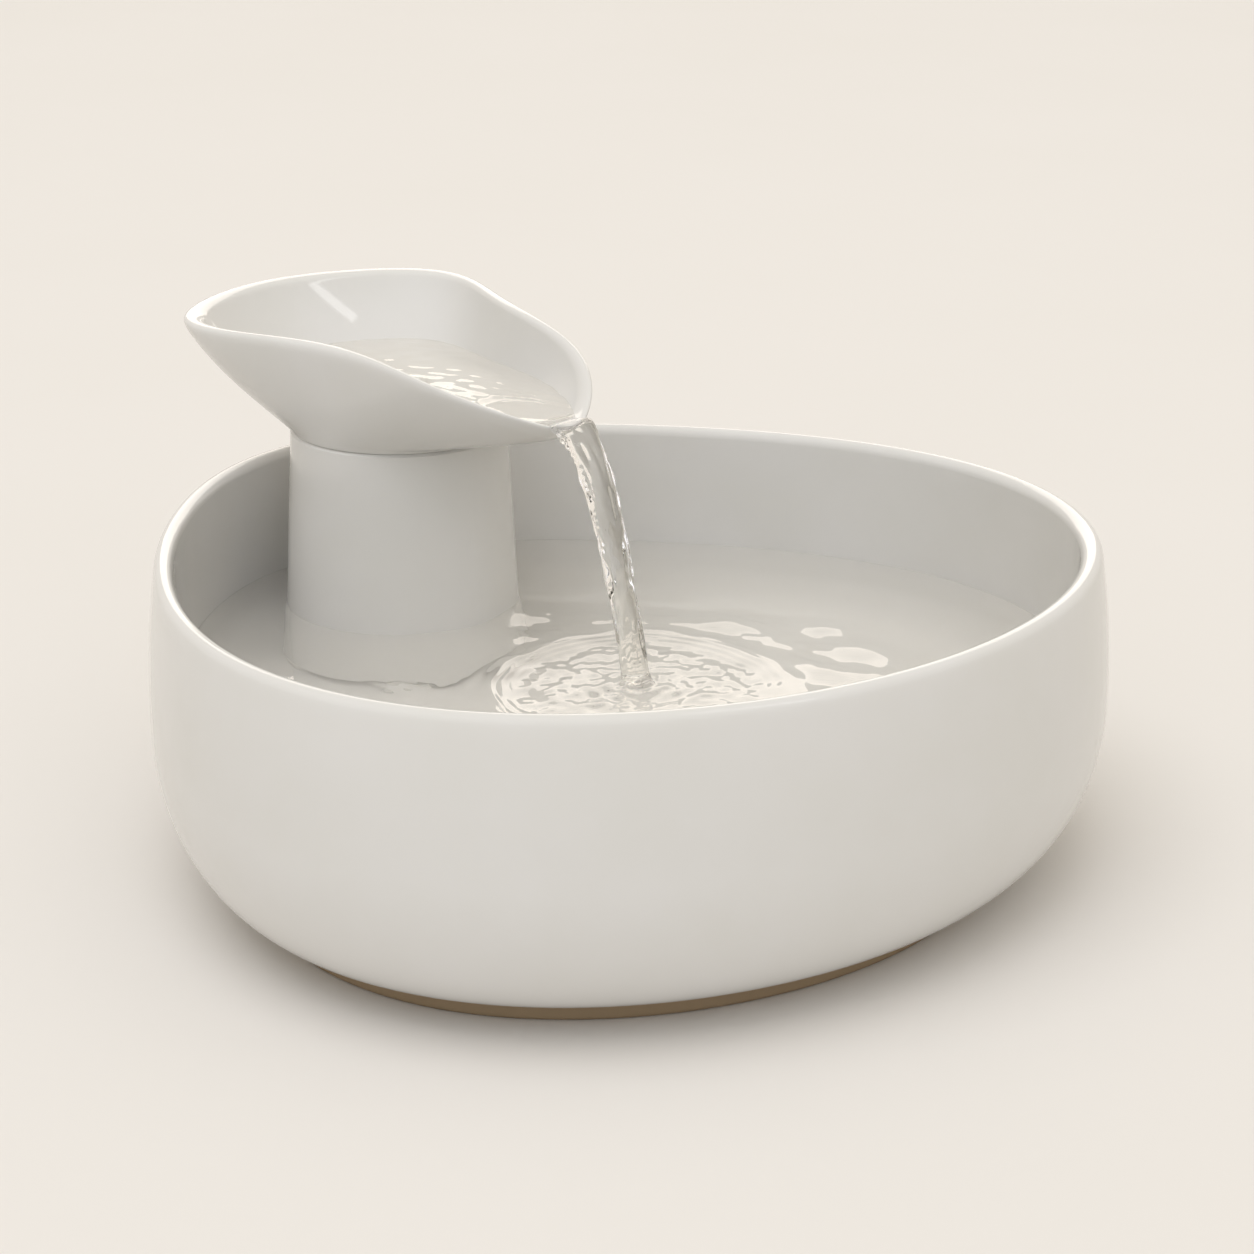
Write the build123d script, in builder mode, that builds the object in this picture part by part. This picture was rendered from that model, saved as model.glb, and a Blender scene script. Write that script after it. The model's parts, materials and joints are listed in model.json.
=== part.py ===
from build123d import *
import os
from math import cos, hypot, pi, sin, sqrt

# Pet water fountain: an egg-shaped ceramic bowl, a tapered column that stands in it over a small
# submersible pump, and a freeform spout dish seated on the column. Millimetres, +Z up. The origin
# lies on the floor under the middle of the whole outline; the water pours towards +X.

os.makedirs("parts", exist_ok=True)

# ------------------------------------------------------------------ driving dimensions
# Bowl
BOWL_LENGTH = 300.0
BOWL_WIDTH = 300.0
BOWL_HEIGHT = 100.0
BOWL_EGG = 0.22            # how much wider the pouring end is than the column end
BOWL_FLAT = 0.047          # how much fuller the sides are than an ellipse
BOWL_WALL = 6.0            # at the rim
BOWL_FLOOR = 6.5           # thickness of the base
RIM_LEAN = 3.6             # the rim stands this far inside the widest girth
GIRTH_Z = 58.0             # height of the widest girth
BELLY_INSET = 34.0         # how far the belly tucks in before it turns flat
BELLY_TOP = 52.0           # height where the belly begins to tuck in
CORNER_INSET = 22.0        # the inside corner between wall and floor, across
CORNER_TOP = 40.0          # and its top
RIM_EDGE = 2.2             # the rim's edges are broken this far
FOOT_HEIGHT = 5.5
FOOT_INSET = 31.0
FOOT_WIDTH = 8.0
FOOT_EDGE = 1.0

# Column
COLUMN_FROM_END = 60.5     # column axis to the bowl's narrow end
COLUMN_BASE_R = 39.5
COLUMN_TOP_R = 34.4
COLUMN_HEIGHT = 102.5
COLUMN_WALL = 5.0
COLUMN_FOOT_EDGE = 2.4
COLUMN_TOP_EDGE = 0.8
PAD_THICKNESS = 3.0
PAD_WIDTH = 4.0
PAD_SWEEP = 16.0           # degrees of arc
PAD_ANGLES = (40.0, 110.0, 250.0, 320.0)
ARCH_WIDTH = 13.0
ARCH_HEIGHT = 17.0
ARCH_ANGLES = (130.0, 180.0, 230.0)
MOUTH_R = 29.0             # straight bore at the top of the column
MOUTH_DEPTH = 13.0

# Spout dish
DISH_FRONT = 82.8          # column axis to lip
DISH_BACK = 69.6           # column axis to back of the rim
DISH_HALF_WIDTH = 48.9
DISH_HOOD = (-0.42, 0.046, 0.033, -0.10)   # harmonics that widen the back and neck the spout
DISH_HEIGHT = 34.8         # column seat to the rim at the back
LIP_DROP = 20.0            # the lip lies this far below the back of the rim
LIP_DROP_START = 20.0      # the rim begins to fall this far behind the column axis
DISH_BULGE = 0.45          # fullness of the dish's flank
LIP_BULGE = 0.2            # and how much fuller it is under the lip
DISH_WALL = 2.7            # sideways thickness of the flank
DISH_FLOOR = 3.4
LIP_THINNING = 0.3         # share of both that is lost towards the lip
DISH_RIM_EDGE = 0.9
SPIGOT_R = 27.3
SPIGOT_WALL = 4.3
SPIGOT_DEPTH = 12.0
KEY_REACH = 2.9            # the aiming key stands proud of the spigot
KEY_HEIGHT = 5.0
KEY_HALF_ANGLE = 14.0
AIM_ANGLE = 30.0           # the dish turns this far each way
SEAL_FLANGE = 0.8
SEAL_DEPTH = 5.5
SEAL_EDGE_GAP = 1.2        # the flange stays inside the column's edge

# Water way
INLET_HOLE_R = 8.0
CAP_WALL = 1.2
CAP_EDGE = 1.6
CAP_WINDOWS = 6
CAP_WINDOW_WIDTH = 4.0
CAP_WINDOW_HEIGHT = 3.6
GROMMET_FLANGE_R = 10.5
GROMMET_FLANGE = 1.5
TUBE_R = 5.0
TUBE_BORE_R = 3.2
TUBE_ABOVE = 3.0           # stands above the dish floor
TUBE_SHOULDER = 6.0        # the tube narrows this far under the grommet
TUBE_TAIL = 11.0           # narrow tail that plugs into the hose
CAP_R = 8.6
CAP_HEIGHT = 6.5
HOSE_BORE_R = 4.2
HOSE_WALL = 2.0
BARB_R = 4.45
ADAPTER_FLANGE_R = 6.4
ADAPTER_FLANGE = 1.5
ADAPTER_TAIL = 10.5
ADAPTER_SPIGOT = 1.6
ADAPTER_SPIGOT_R = 4.7
ADAPTER_BORE_R = 3.0
BARB_COUNT = 2
BARB_FIRST = 2.5
BARB_PITCH = 3.5

# Pump, measured from the column axis along X and from the bowl floor up
CUP_HEIGHT = 5.0
CUP_R = 6.0
CUP_STEM_R = 1.8
CUP_HOLLOW = 2.6
CUP_EDGE = 0.7
CUP_WAIST_R = 4.4
CUP_WAIST_UP = 1.9
CUP_SHOULDER_R = 2.6
CUP_MARGIN = 0.5
CUP_Y = 9.5
PUMP_HALF_WIDTH = 16.0
PUMP_HEIGHT = 35.0
PUMP_BACK = 27.0           # behind the column axis
PUMP_FRONT = 5.0           # the chamber's front face
PUMP_CORNER = 5.0
PUMP_WALL = 2.0
PUMP_TOP_WALL = 2.5
SHAFT_UP = 20.5            # rotor axis above the pump's underside
CHAMBER_R = 10.0
CHAMBER_BACK = 5.0         # the chamber's back face, behind the column axis
IMPELLER_R = 8.5
IMPELLER_HUB_R = 3.0
VANE_THICKNESS = 1.3
VANE_LENGTH = 6.3
VANE_COUNT = 6
MAGNET_R = 6.0
MAGNET_LENGTH = 12.5
SHAFT_R = 1.0
WELL_R = 6.4
WELL_WALL = 1.0
WELL_DEPTH = 17.0
BUSH_R = 2.0
BUSH_LENGTH = 2.0
CORE_BACK = 21.5
CORE_THICKNESS = 10.0
CORE_LIMB = 4.0
CORE_HALF_WIDTH = 13.0
COIL_BUILD = 2.4
BOBBIN_WALL = 0.7
BOBBIN_HALF_LENGTH = 7.0
WINDOW_WIDTH = 18.0
WINDOW_HEIGHT = 20.0
WINDOW_CORNER = 2.5
COVER_THICKNESS = 2.0
COVER_HUB = 1.4
SPOKE_WIDTH = 1.0
INTAKE_R = 5.5
FRONT_INSET = 0.8
FRONT_CORNER = 2.5
SEAL_GROOVE = 0.9
SEAL_LAND = 1.1
SEAL_RING = 1.4
STRAINER_DEPTH = 10.0
STRAINER_WALL = 1.5
STRAINER_EDGE = 1.2
STRAINER_SLOT = 1.7
STRAINER_SLOT_PITCH = 3.4
STRAINER_SLOTS = 7
SLIDER_THICKNESS = 1.2
SLIDER_WIDTH = 7.0
SLIDER_TRAVEL = 7.0
SLIDER_STANDOFF = 1.3
STEM_WIDTH = 2.0
THUMB_WIDTH = 4.0
THUMB_DEPTH = 3.4
THUMB_HEIGHT = 2.2
THUMB_ROUND = 0.8
FOAM_SIDE = 3.0
FOAM_FRONT = 5.0
FOAM_HEIGHT = 32.0
GLAND_R = 3.8
GLAND_LIP = 1.0
GLAND_HEIGHT = 6.0
GLAND_FROM_BACK = 7.0
CABLE_HOLE_R = 2.1

# Clearances
SEAT_GAP = 0.3             # between curved faces of pieces that lift apart
RUN_GAP = 0.06             # rotor on its shaft
SLIP_GAP = 0.1             # tube tail in the hose, and parts pushed together by hand
FIT_GAP = 0.2              # round the windings and the core
KEY_GAP = 0.4
KEY_ANGLE_GAP = 0.8        # degrees past the aiming stops

# ------------------------------------------------------------------ derived places
OUTLINE_STEPS = 28
FLANK_SHARES = (0.0, 0.09, 0.2, 0.32, 0.45, 0.6, 0.78, 1.0)
FLANK_SPARE = 2.0          # the flank runs this far above the rim before it is cut
TOWER_BACK = BOWL_LENGTH / 2 - COLUMN_FROM_END
BOWL_X = (TOWER_BACK + DISH_BACK - BOWL_LENGTH / 2) / 2
TOWER_X = BOWL_X - TOWER_BACK
FLOOR_Z = FOOT_HEIGHT + BOWL_FLOOR
COLUMN_Z = FLOOR_Z + PAD_THICKNESS
COLUMN_TOP_Z = COLUMN_Z + COLUMN_HEIGHT
DISH_Z = COLUMN_TOP_Z + SEAL_FLANGE
DISH_FLOOR_Z = DISH_Z + DISH_FLOOR
DISH_TOP_Z = DISH_Z + DISH_HEIGHT
PUMP_Z = FLOOR_Z + CUP_HEIGHT
PUMP_TOP_Z = PUMP_Z + PUMP_HEIGHT
SHAFT_Z = PUMP_Z + SHAFT_UP
HOSE_Z = PUMP_TOP_Z + ADAPTER_FLANGE
TUBE_SHOULDER_Z = DISH_Z - GROMMET_FLANGE - TUBE_SHOULDER
TUBE_TOP_Z = DISH_FLOOR_Z + TUBE_ABOVE
LEVELS = 0.001             # height tolerance of edge selectors

TOWER_AXIS = Axis((TOWER_X, 0, 0), (0, 0, 1))


def tower_level(z):
    """Horizontal sketch plane centred on the column axis."""
    return Plane((TOWER_X, 0, z))


def tower_section(angle=0.0):
    """Upright sketch plane through the column axis: X runs outwards at the angle, Y is height."""
    out = Vector(1, 0, 0).rotate(Axis.Z, angle)
    side = Vector(0, -1, 0).rotate(Axis.Z, angle)
    return Plane(origin=(TOWER_X, 0, 0), x_dir=out, z_dir=side)


def tower_facing(angle):
    """Upright sketch plane through the column axis that faces outwards at the angle."""
    side = Vector(0, 1, 0).rotate(Axis.Z, angle)
    out = Vector(1, 0, 0).rotate(Axis.Z, angle)
    return Plane(origin=(TOWER_X, 0, 0), x_dir=side, z_dir=out)


def pump_station(x, z=0.0):
    """Sketch plane across the rotor axis at x from the column axis: X runs to +Y, Y is height."""
    return Plane(origin=(TOWER_X + x, 0, z), x_dir=(0, 1, 0), z_dir=(1, 0, 0))


def around():
    """Evenly spaced parameters round a closed outline."""
    return [2 * pi * k / OUTLINE_STEPS for k in range(OUTLINE_STEPS)]


# ------------------------------------------------------------------ bowl
def egg(t):
    """Half width of the egg outline at parameter t, before it is scaled to the bowl's width."""
    return sin(t) * (1 + BOWL_EGG * cos(t) - BOWL_FLAT * cos(2 * t))


EGG_PEAK = max(egg(pi * k / 360) for k in range(361))


def bowl_outline(inset):
    """Closed egg outline, moved inwards by the inset."""
    half_length = BOWL_LENGTH / 2 - inset
    half_width = (BOWL_WIDTH / 2 - inset) / EGG_PEAK
    return [(half_length * cos(t), half_width * egg(t)) for t in around()]


def tuck(z, top, bottom, inset):
    """Inset of a quarter ellipse that leaves the wall at top and turns flat at bottom."""
    if z >= top:
        return 0.0
    share = min(1.0, (top - z) / (top - bottom))
    return inset * (1 - sqrt(1 - share**2))


def lean(z):
    """Inset of the wall above the girth, as it leans in towards the rim."""
    share = max(0.0, (z - GIRTH_Z) / (BOWL_HEIGHT - GIRTH_Z))
    return RIM_LEAN * share**2


def heights(bottom, top, finish):
    """Section heights: close together round the tuck, then even up to the finish."""
    curve = [top - (top - bottom) * sin(pi / 2 * k / 6) for k in range(6, -1, -1)]
    rest = [top + (finish - top) * k / 4 for k in range(1, 5)]
    return curve + rest


with BuildPart() as bowl:
    for z in heights(FOOT_HEIGHT, BELLY_TOP, BOWL_HEIGHT):
        with BuildSketch(Plane((BOWL_X, 0, z))):
            with BuildLine():
                Spline(*bowl_outline(tuck(z, BELLY_TOP, FOOT_HEIGHT, BELLY_INSET) + lean(z)),
                       periodic=True)
            make_face()
    loft()
    with BuildSketch(Plane((BOWL_X, 0, 0))):
        with BuildLine():
            Spline(*bowl_outline(FOOT_INSET), periodic=True)
        make_face()
        with BuildLine():
            Spline(*bowl_outline(FOOT_INSET + FOOT_WIDTH), periodic=True)
        make_face(mode=Mode.SUBTRACT)
    extrude(amount=FOOT_HEIGHT + BOWL_FLOOR / 3)
    for z in heights(FLOOR_Z, CORNER_TOP, BOWL_HEIGHT + BOWL_WALL):
        with BuildSketch(Plane((BOWL_X, 0, z))):
            with BuildLine():
                Spline(*bowl_outline(RIM_LEAN + BOWL_WALL
                                     + tuck(z, CORNER_TOP, FLOOR_Z, CORNER_INSET)), periodic=True)
            make_face()
    loft(mode=Mode.SUBTRACT)
    chamfer(bowl.edges().filter_by_position(Axis.Z, BOWL_HEIGHT - LEVELS, BOWL_HEIGHT + LEVELS),
            RIM_EDGE)
    chamfer(bowl.edges().filter_by_position(Axis.Z, -LEVELS, LEVELS), FOOT_EDGE)

bowl.part.label = "bowl"
export_step(bowl.part, "parts/bowl.step")


# ------------------------------------------------------------------ spout dish
def rim_point(t):
    """Plan of the dish's rim: a lip in front, a narrow spout and a hood at the back."""
    middle = (DISH_FRONT - DISH_BACK) / 2
    half_length = (DISH_FRONT + DISH_BACK) / 2
    hood = 1 + sum(share * cos((k + 1) * t) for k, share in enumerate(DISH_HOOD))
    return middle + half_length * cos(t), DISH_HALF_WIDTH * sin(t) * hood


def rim_height(x):
    """Height of the dish's rim, seen from the side: level at the back, falling to the lip."""
    share = max(0.0, (x + LIP_DROP_START) / (DISH_FRONT + LIP_DROP_START))
    return DISH_TOP_Z - LIP_DROP * share**3


def dish_outline(z, drop, wall):
    """Level section of the flank. It swells from the round seat to the rim; the inside face is
    the outside face lowered by drop and moved inwards by wall, both less towards the lip."""
    points = []
    for t in around():
        front = ((1 + cos(t)) / 2)**3
        thin = 1 - LIP_THINNING * front
        bulge = DISH_BULGE + LIP_BULGE * front
        rim_x, rim_y = rim_point(t)
        seat_x = COLUMN_TOP_R * cos(t)
        seat_y = COLUMN_TOP_R * sin(t)
        rise = (z - drop * thin - DISH_Z) / (rim_height(rim_x) - DISH_Z)
        swell = rise * (1 + bulge * (1 - rise))
        x = seat_x + (rim_x - seat_x) * swell
        y = seat_y + (rim_y - seat_y) * swell
        keep = 1 - wall * thin / hypot(x, y)
        points.append((x * keep, y * keep))
    return points


def add_sector(inner, outer, middle, half, mode=Mode.ADD):
    """Adds the part of a ring that lies within the half angle of its middle angle."""
    with BuildLine() as sector:
        outside = CenterArc((0, 0), outer, middle - half, 2 * half)
        inside = CenterArc((0, 0), inner, middle - half, 2 * half)
        Line(outside @ 0, inside @ 0)
        Line(outside @ 1, inside @ 1)
    make_face(sector.edges(), mode=mode)


with BuildPart() as spout_dish:
    for share in FLANK_SHARES:
        height = DISH_Z + share * (DISH_HEIGHT + FLANK_SPARE)
        with BuildSketch(tower_level(height)):
            with BuildLine():
                Spline(*dish_outline(height, 0.0, 0.0), periodic=True)
            make_face()
    loft()
    for share in FLANK_SHARES:
        height = DISH_FLOOR_Z + share * (DISH_HEIGHT + 2 * FLANK_SPARE - DISH_FLOOR)
        with BuildSketch(tower_level(height)):
            with BuildLine():
                Spline(*dish_outline(height, DISH_FLOOR, DISH_WALL), periodic=True)
            make_face()
    loft(mode=Mode.SUBTRACT)
    # The rim is cut to its side profile: level behind, falling to the lip.
    with BuildSketch(tower_section()):
        with BuildLine():
            start = (-LIP_DROP_START, DISH_TOP_Z)
            reach = DISH_FRONT + LIP_DROP_START + LIP_DROP
            fall = [(reach * k / 5 - LIP_DROP_START, rim_height(reach * k / 5 - LIP_DROP_START))
                    for k in range(1, 6)]
            Line((-2 * DISH_BACK, DISH_TOP_Z), start)
            Spline(start, *fall)
            Polyline(fall[-1], (2 * DISH_FRONT, fall[-1][1]), (2 * DISH_FRONT, 2 * DISH_TOP_Z),
                     (-2 * DISH_BACK, 2 * DISH_TOP_Z), (-2 * DISH_BACK, DISH_TOP_Z))
        make_face()
    extrude(amount=2 * DISH_FRONT, both=True, mode=Mode.SUBTRACT)
    rim = spout_dish.edges().filter_by(lambda edge: min(v.Z for v in edge.vertices())
                                       > DISH_TOP_Z - LIP_DROP - DISH_RIM_EDGE)
    chamfer(rim, DISH_RIM_EDGE)
    # Spigot with its aiming key, and the hole for the water.
    with BuildSketch(tower_level(DISH_Z - SPIGOT_DEPTH)):
        Circle(SPIGOT_R)
        Circle(SPIGOT_R - SPIGOT_WALL, mode=Mode.SUBTRACT)
    extrude(amount=SPIGOT_DEPTH + DISH_FLOOR / 2)
    with BuildSketch(tower_level(DISH_Z - SPIGOT_DEPTH)):
        add_sector(SPIGOT_R - SPIGOT_WALL / 2, SPIGOT_R + KEY_REACH, 180.0, KEY_HALF_ANGLE)
    extrude(amount=KEY_HEIGHT)
    with BuildSketch(tower_level(DISH_Z - SPIGOT_DEPTH)):
        Circle(INLET_HOLE_R)
    extrude(amount=SPIGOT_DEPTH + DISH_FLOOR, mode=Mode.SUBTRACT)

spout_dish.part.label = "spout_dish"
export_step(spout_dish.part, "parts/spout_dish.step")


# ------------------------------------------------------------------ column
def column_inner(z):
    """Radius of the column's tapered inside at a height."""
    share = (z - COLUMN_Z) / COLUMN_HEIGHT
    return COLUMN_BASE_R + (COLUMN_TOP_R - COLUMN_BASE_R) * share - COLUMN_WALL


MOUTH_Z = COLUMN_TOP_Z - MOUTH_DEPTH
KEYWAY_R = SPIGOT_R + KEY_REACH + KEY_GAP

with BuildPart() as column:
    with BuildSketch(tower_section()):
        with BuildLine():
            Polyline((COLUMN_BASE_R, COLUMN_Z), (COLUMN_TOP_R, COLUMN_TOP_Z),
                     (MOUTH_R, COLUMN_TOP_Z), (MOUTH_R, MOUTH_Z), (column_inner(MOUTH_Z), MOUTH_Z),
                     (column_inner(COLUMN_Z), COLUMN_Z), close=True)
        make_face()
    revolve(axis=TOWER_AXIS)
    foot_edges = column.edges().filter_by_position(Axis.Z, COLUMN_Z - LEVELS, COLUMN_Z + LEVELS)
    chamfer(foot_edges.sort_by(SortBy.LENGTH)[-1], COLUMN_FOOT_EDGE)
    top_edges = column.edges().filter_by_position(Axis.Z, COLUMN_TOP_Z - LEVELS,
                                                  COLUMN_TOP_Z + LEVELS)
    chamfer(top_edges.sort_by(SortBy.LENGTH)[-1], COLUMN_TOP_EDGE)
    # Arched openings let the water in behind; the middle one is tall enough for a cable.
    for angle in ARCH_ANGLES:
        with BuildSketch(tower_facing(angle)):
            with Locations((0, COLUMN_Z)):
                Rectangle(ARCH_WIDTH, ARCH_HEIGHT - ARCH_WIDTH / 2, align=(Align.CENTER, Align.MIN))
            with Locations((0, COLUMN_Z + ARCH_HEIGHT - ARCH_WIDTH / 2)):
                Circle(ARCH_WIDTH / 2)
        extrude(amount=2 * COLUMN_BASE_R, mode=Mode.SUBTRACT)
    # Keyway in the mouth: the dish's key swings in it and lifts out at the top.
    with BuildSketch(tower_level(DISH_Z - SPIGOT_DEPTH - KEY_GAP)):
        add_sector(MOUTH_R - KEY_REACH, KEYWAY_R, 180.0, AIM_ANGLE + KEY_HALF_ANGLE + KEY_ANGLE_GAP)
    extrude(amount=SPIGOT_DEPTH + KEY_GAP, mode=Mode.SUBTRACT)

column.part.label = "column"
export_step(column.part, "parts/column.step")

with BuildPart() as column_pads:
    for angle in PAD_ANGLES:
        with BuildSketch(tower_level(FLOOR_Z)):
            with BuildLine(mode=Mode.PRIVATE):
                middle = CenterArc((0, 0), COLUMN_BASE_R - COLUMN_WALL + PAD_WIDTH / 2,
                                   angle - PAD_SWEEP / 2, PAD_SWEEP)
            SlotArc(middle, PAD_WIDTH)
        extrude(amount=PAD_THICKNESS)

column_pads.part.label = "column_pads"
export_step(column_pads.part, "parts/column_pads.step")

with BuildPart() as dish_seal:
    with BuildSketch(tower_section()):
        with BuildLine():
            inside = SPIGOT_R + SEAT_GAP
            outside = MOUTH_R - SEAT_GAP
            edge = COLUMN_TOP_R - SEAL_EDGE_GAP
            Polyline((inside, COLUMN_TOP_Z - SEAL_DEPTH), (outside, COLUMN_TOP_Z - SEAL_DEPTH),
                     (outside, COLUMN_TOP_Z), (edge, COLUMN_TOP_Z), (edge, DISH_Z),
                     (inside, DISH_Z), close=True)
        make_face()
    revolve(axis=TOWER_AXIS)

dish_seal.part.label = "dish_seal"
export_step(dish_seal.part, "parts/dish_seal.step")

# ------------------------------------------------------------------ water way
with BuildPart() as inlet_grommet:
    with BuildSketch(tower_section()):
        with BuildLine():
            inside = TUBE_R + SLIP_GAP
            shank = INLET_HOLE_R - SLIP_GAP
            Polyline((inside, DISH_Z - GROMMET_FLANGE), (GROMMET_FLANGE_R, DISH_Z - GROMMET_FLANGE),
                     (GROMMET_FLANGE_R, DISH_Z), (shank, DISH_Z), (shank, DISH_FLOOR_Z),
                     (GROMMET_FLANGE_R, DISH_FLOOR_Z),
                     (GROMMET_FLANGE_R, DISH_FLOOR_Z + GROMMET_FLANGE),
                     (inside, DISH_FLOOR_Z + GROMMET_FLANGE), close=True)
        make_face()
    revolve(axis=TOWER_AXIS)

inlet_grommet.part.label = "inlet_grommet"
export_step(inlet_grommet.part, "parts/inlet_grommet.step")

with BuildPart() as inlet_tube:
    with BuildSketch(tower_section()):
        with BuildLine():
            tail = HOSE_BORE_R - SLIP_GAP
            Polyline((TUBE_BORE_R, TUBE_SHOULDER_Z - TUBE_TAIL), (tail, TUBE_SHOULDER_Z - TUBE_TAIL),
                     (tail, TUBE_SHOULDER_Z), (TUBE_R, TUBE_SHOULDER_Z), (TUBE_R, TUBE_TOP_Z),
                     (TUBE_BORE_R, TUBE_TOP_Z), close=True)
        make_face()
    revolve(axis=TOWER_AXIS)

inlet_tube.part.label = "inlet_tube"
export_step(inlet_tube.part, "parts/inlet_tube.step")

CAP_Z = DISH_FLOOR_Z + GROMMET_FLANGE

with BuildPart() as outlet_cap:
    with BuildSketch(tower_level(CAP_Z)):
        Circle(CAP_R)
    extrude(amount=CAP_HEIGHT)
    chamfer(outlet_cap.faces().sort_by(Axis.Z)[-1].edges(), CAP_EDGE)
    offset(amount=-CAP_WALL, openings=outlet_cap.faces().sort_by(Axis.Z)[0])
    for k in range(CAP_WINDOWS):
        with BuildSketch(tower_facing(360.0 * k / CAP_WINDOWS)):
            with Locations((0, CAP_Z)):
                Rectangle(CAP_WINDOW_WIDTH, CAP_WINDOW_HEIGHT, align=(Align.CENTER, Align.MIN))
        extrude(amount=2 * CAP_R, mode=Mode.SUBTRACT)

outlet_cap.part.label = "outlet_cap"
export_step(outlet_cap.part, "parts/outlet_cap.step")

with BuildPart() as riser_hose:
    with BuildSketch(tower_level(HOSE_Z)):
        Circle(HOSE_BORE_R + HOSE_WALL)
        Circle(HOSE_BORE_R, mode=Mode.SUBTRACT)
    extrude(amount=TUBE_SHOULDER_Z - SEAT_GAP - HOSE_Z)

riser_hose.part.label = "riser_hose"
export_step(riser_hose.part, "parts/riser_hose.step")

with BuildPart() as outlet_adapter:
    with BuildSketch(tower_section()):
        with BuildLine():
            neck = HOSE_BORE_R - SEAT_GAP
            barbs = []
            for k in range(BARB_COUNT):
                low = HOSE_Z + BARB_FIRST + k * BARB_PITCH
                barbs += [(neck, low), (BARB_R, low), (neck, low + BARB_PITCH * 0.7)]
            Polyline((ADAPTER_BORE_R, PUMP_TOP_Z - ADAPTER_SPIGOT),
                     (ADAPTER_SPIGOT_R, PUMP_TOP_Z - ADAPTER_SPIGOT),
                     (ADAPTER_SPIGOT_R, PUMP_TOP_Z), (ADAPTER_FLANGE_R, PUMP_TOP_Z),
                     (ADAPTER_FLANGE_R, HOSE_Z), (neck, HOSE_Z), *barbs,
                     (neck, HOSE_Z + ADAPTER_TAIL), (ADAPTER_BORE_R, HOSE_Z + ADAPTER_TAIL),
                     close=True)
        make_face()
    revolve(axis=TOWER_AXIS)

outlet_adapter.part.label = "outlet_adapter"
export_step(outlet_adapter.part, "parts/outlet_adapter.step")

# ------------------------------------------------------------------ pump body
CAVITY_BACK = PUMP_BACK - PUMP_WALL
CAVITY_FRONT = CHAMBER_BACK + PUMP_WALL
CAVITY_Z = PUMP_Z + PUMP_WALL
CAVITY_TOP_Z = PUMP_TOP_Z - PUMP_TOP_WALL
WELL_END = CHAMBER_BACK + WELL_DEPTH
CUP_BACK_X = -PUMP_BACK + CUP_R + CUP_MARGIN
CUP_FRONT_X = PUMP_FRONT - CUP_R - CUP_MARGIN
GLAND_X = -PUMP_BACK + GLAND_FROM_BACK

with BuildPart() as pump_housing:
    with BuildSketch(tower_level(PUMP_Z)) as plan:
        with Locations(((PUMP_FRONT - PUMP_BACK) / 2, 0)):
            Rectangle(PUMP_FRONT + PUMP_BACK, 2 * PUMP_HALF_WIDTH)
        fillet(plan.vertices().group_by(Axis.X)[0], PUMP_CORNER)
    extrude(amount=PUMP_HEIGHT)
    # Motor cavity, with a window behind through which it is potted.
    with BuildSketch(tower_level(CAVITY_Z)):
        with Locations((-(CAVITY_BACK + CAVITY_FRONT) / 2, 0)):
            RectangleRounded(CAVITY_BACK - CAVITY_FRONT, 2 * (PUMP_HALF_WIDTH - PUMP_WALL),
                             PUMP_CORNER - PUMP_WALL)
    extrude(amount=CAVITY_TOP_Z - CAVITY_Z, mode=Mode.SUBTRACT)
    with BuildSketch(pump_station(-PUMP_BACK)):
        with Locations((0, (CAVITY_Z + CAVITY_TOP_Z) / 2)):
            RectangleRounded(WINDOW_WIDTH, WINDOW_HEIGHT, WINDOW_CORNER)
    extrude(amount=PUMP_WALL, mode=Mode.SUBTRACT)
    # Rotor well: a blind cup that stands back into the cavity.
    with BuildSketch(pump_station(-WELL_END - WELL_WALL, SHAFT_Z)):
        Circle(WELL_R + WELL_WALL)
    extrude(amount=WELL_END + WELL_WALL - CHAMBER_BACK)
    with BuildSketch(pump_station(-WELL_END, SHAFT_Z)):
        Circle(WELL_R)
    extrude(amount=WELL_DEPTH, mode=Mode.SUBTRACT)
    # Impeller chamber, its outlet upwards, and the seal's groove round it.
    with BuildSketch(pump_station(-CHAMBER_BACK, SHAFT_Z)):
        Circle(CHAMBER_R)
    extrude(amount=CHAMBER_BACK + PUMP_FRONT, mode=Mode.SUBTRACT)
    with BuildSketch(tower_level(SHAFT_Z)):
        Circle(ADAPTER_BORE_R)
    extrude(amount=PUMP_TOP_Z - SHAFT_Z, mode=Mode.SUBTRACT)
    with BuildSketch(tower_level(PUMP_TOP_Z - ADAPTER_SPIGOT)):
        Circle(ADAPTER_SPIGOT_R)
    extrude(amount=ADAPTER_SPIGOT, mode=Mode.SUBTRACT)
    with BuildSketch(pump_station(PUMP_FRONT - SEAL_GROOVE, SHAFT_Z)):
        Circle(CHAMBER_R + SEAL_LAND + SEAL_RING)
        Circle(CHAMBER_R + SEAL_LAND, mode=Mode.SUBTRACT)
    extrude(amount=SEAL_GROOVE, mode=Mode.SUBTRACT)
    # Sockets for the suction cups, and the cable's way out.
    with BuildSketch(tower_level(PUMP_Z)):
        with Locations((CUP_BACK_X, CUP_Y), (CUP_BACK_X, -CUP_Y),
                       (CUP_FRONT_X, CUP_Y), (CUP_FRONT_X, -CUP_Y)):
            Circle(CUP_STEM_R)
    extrude(amount=PUMP_WALL, mode=Mode.SUBTRACT)
    with BuildSketch(tower_level(CAVITY_TOP_Z)):
        with Locations((GLAND_X, 0)):
            Circle(GLAND_R - GLAND_LIP)
    extrude(amount=PUMP_TOP_WALL, mode=Mode.SUBTRACT)

pump_housing.part.label = "pump_housing"
export_step(pump_housing.part, "parts/pump_housing.step")

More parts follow.
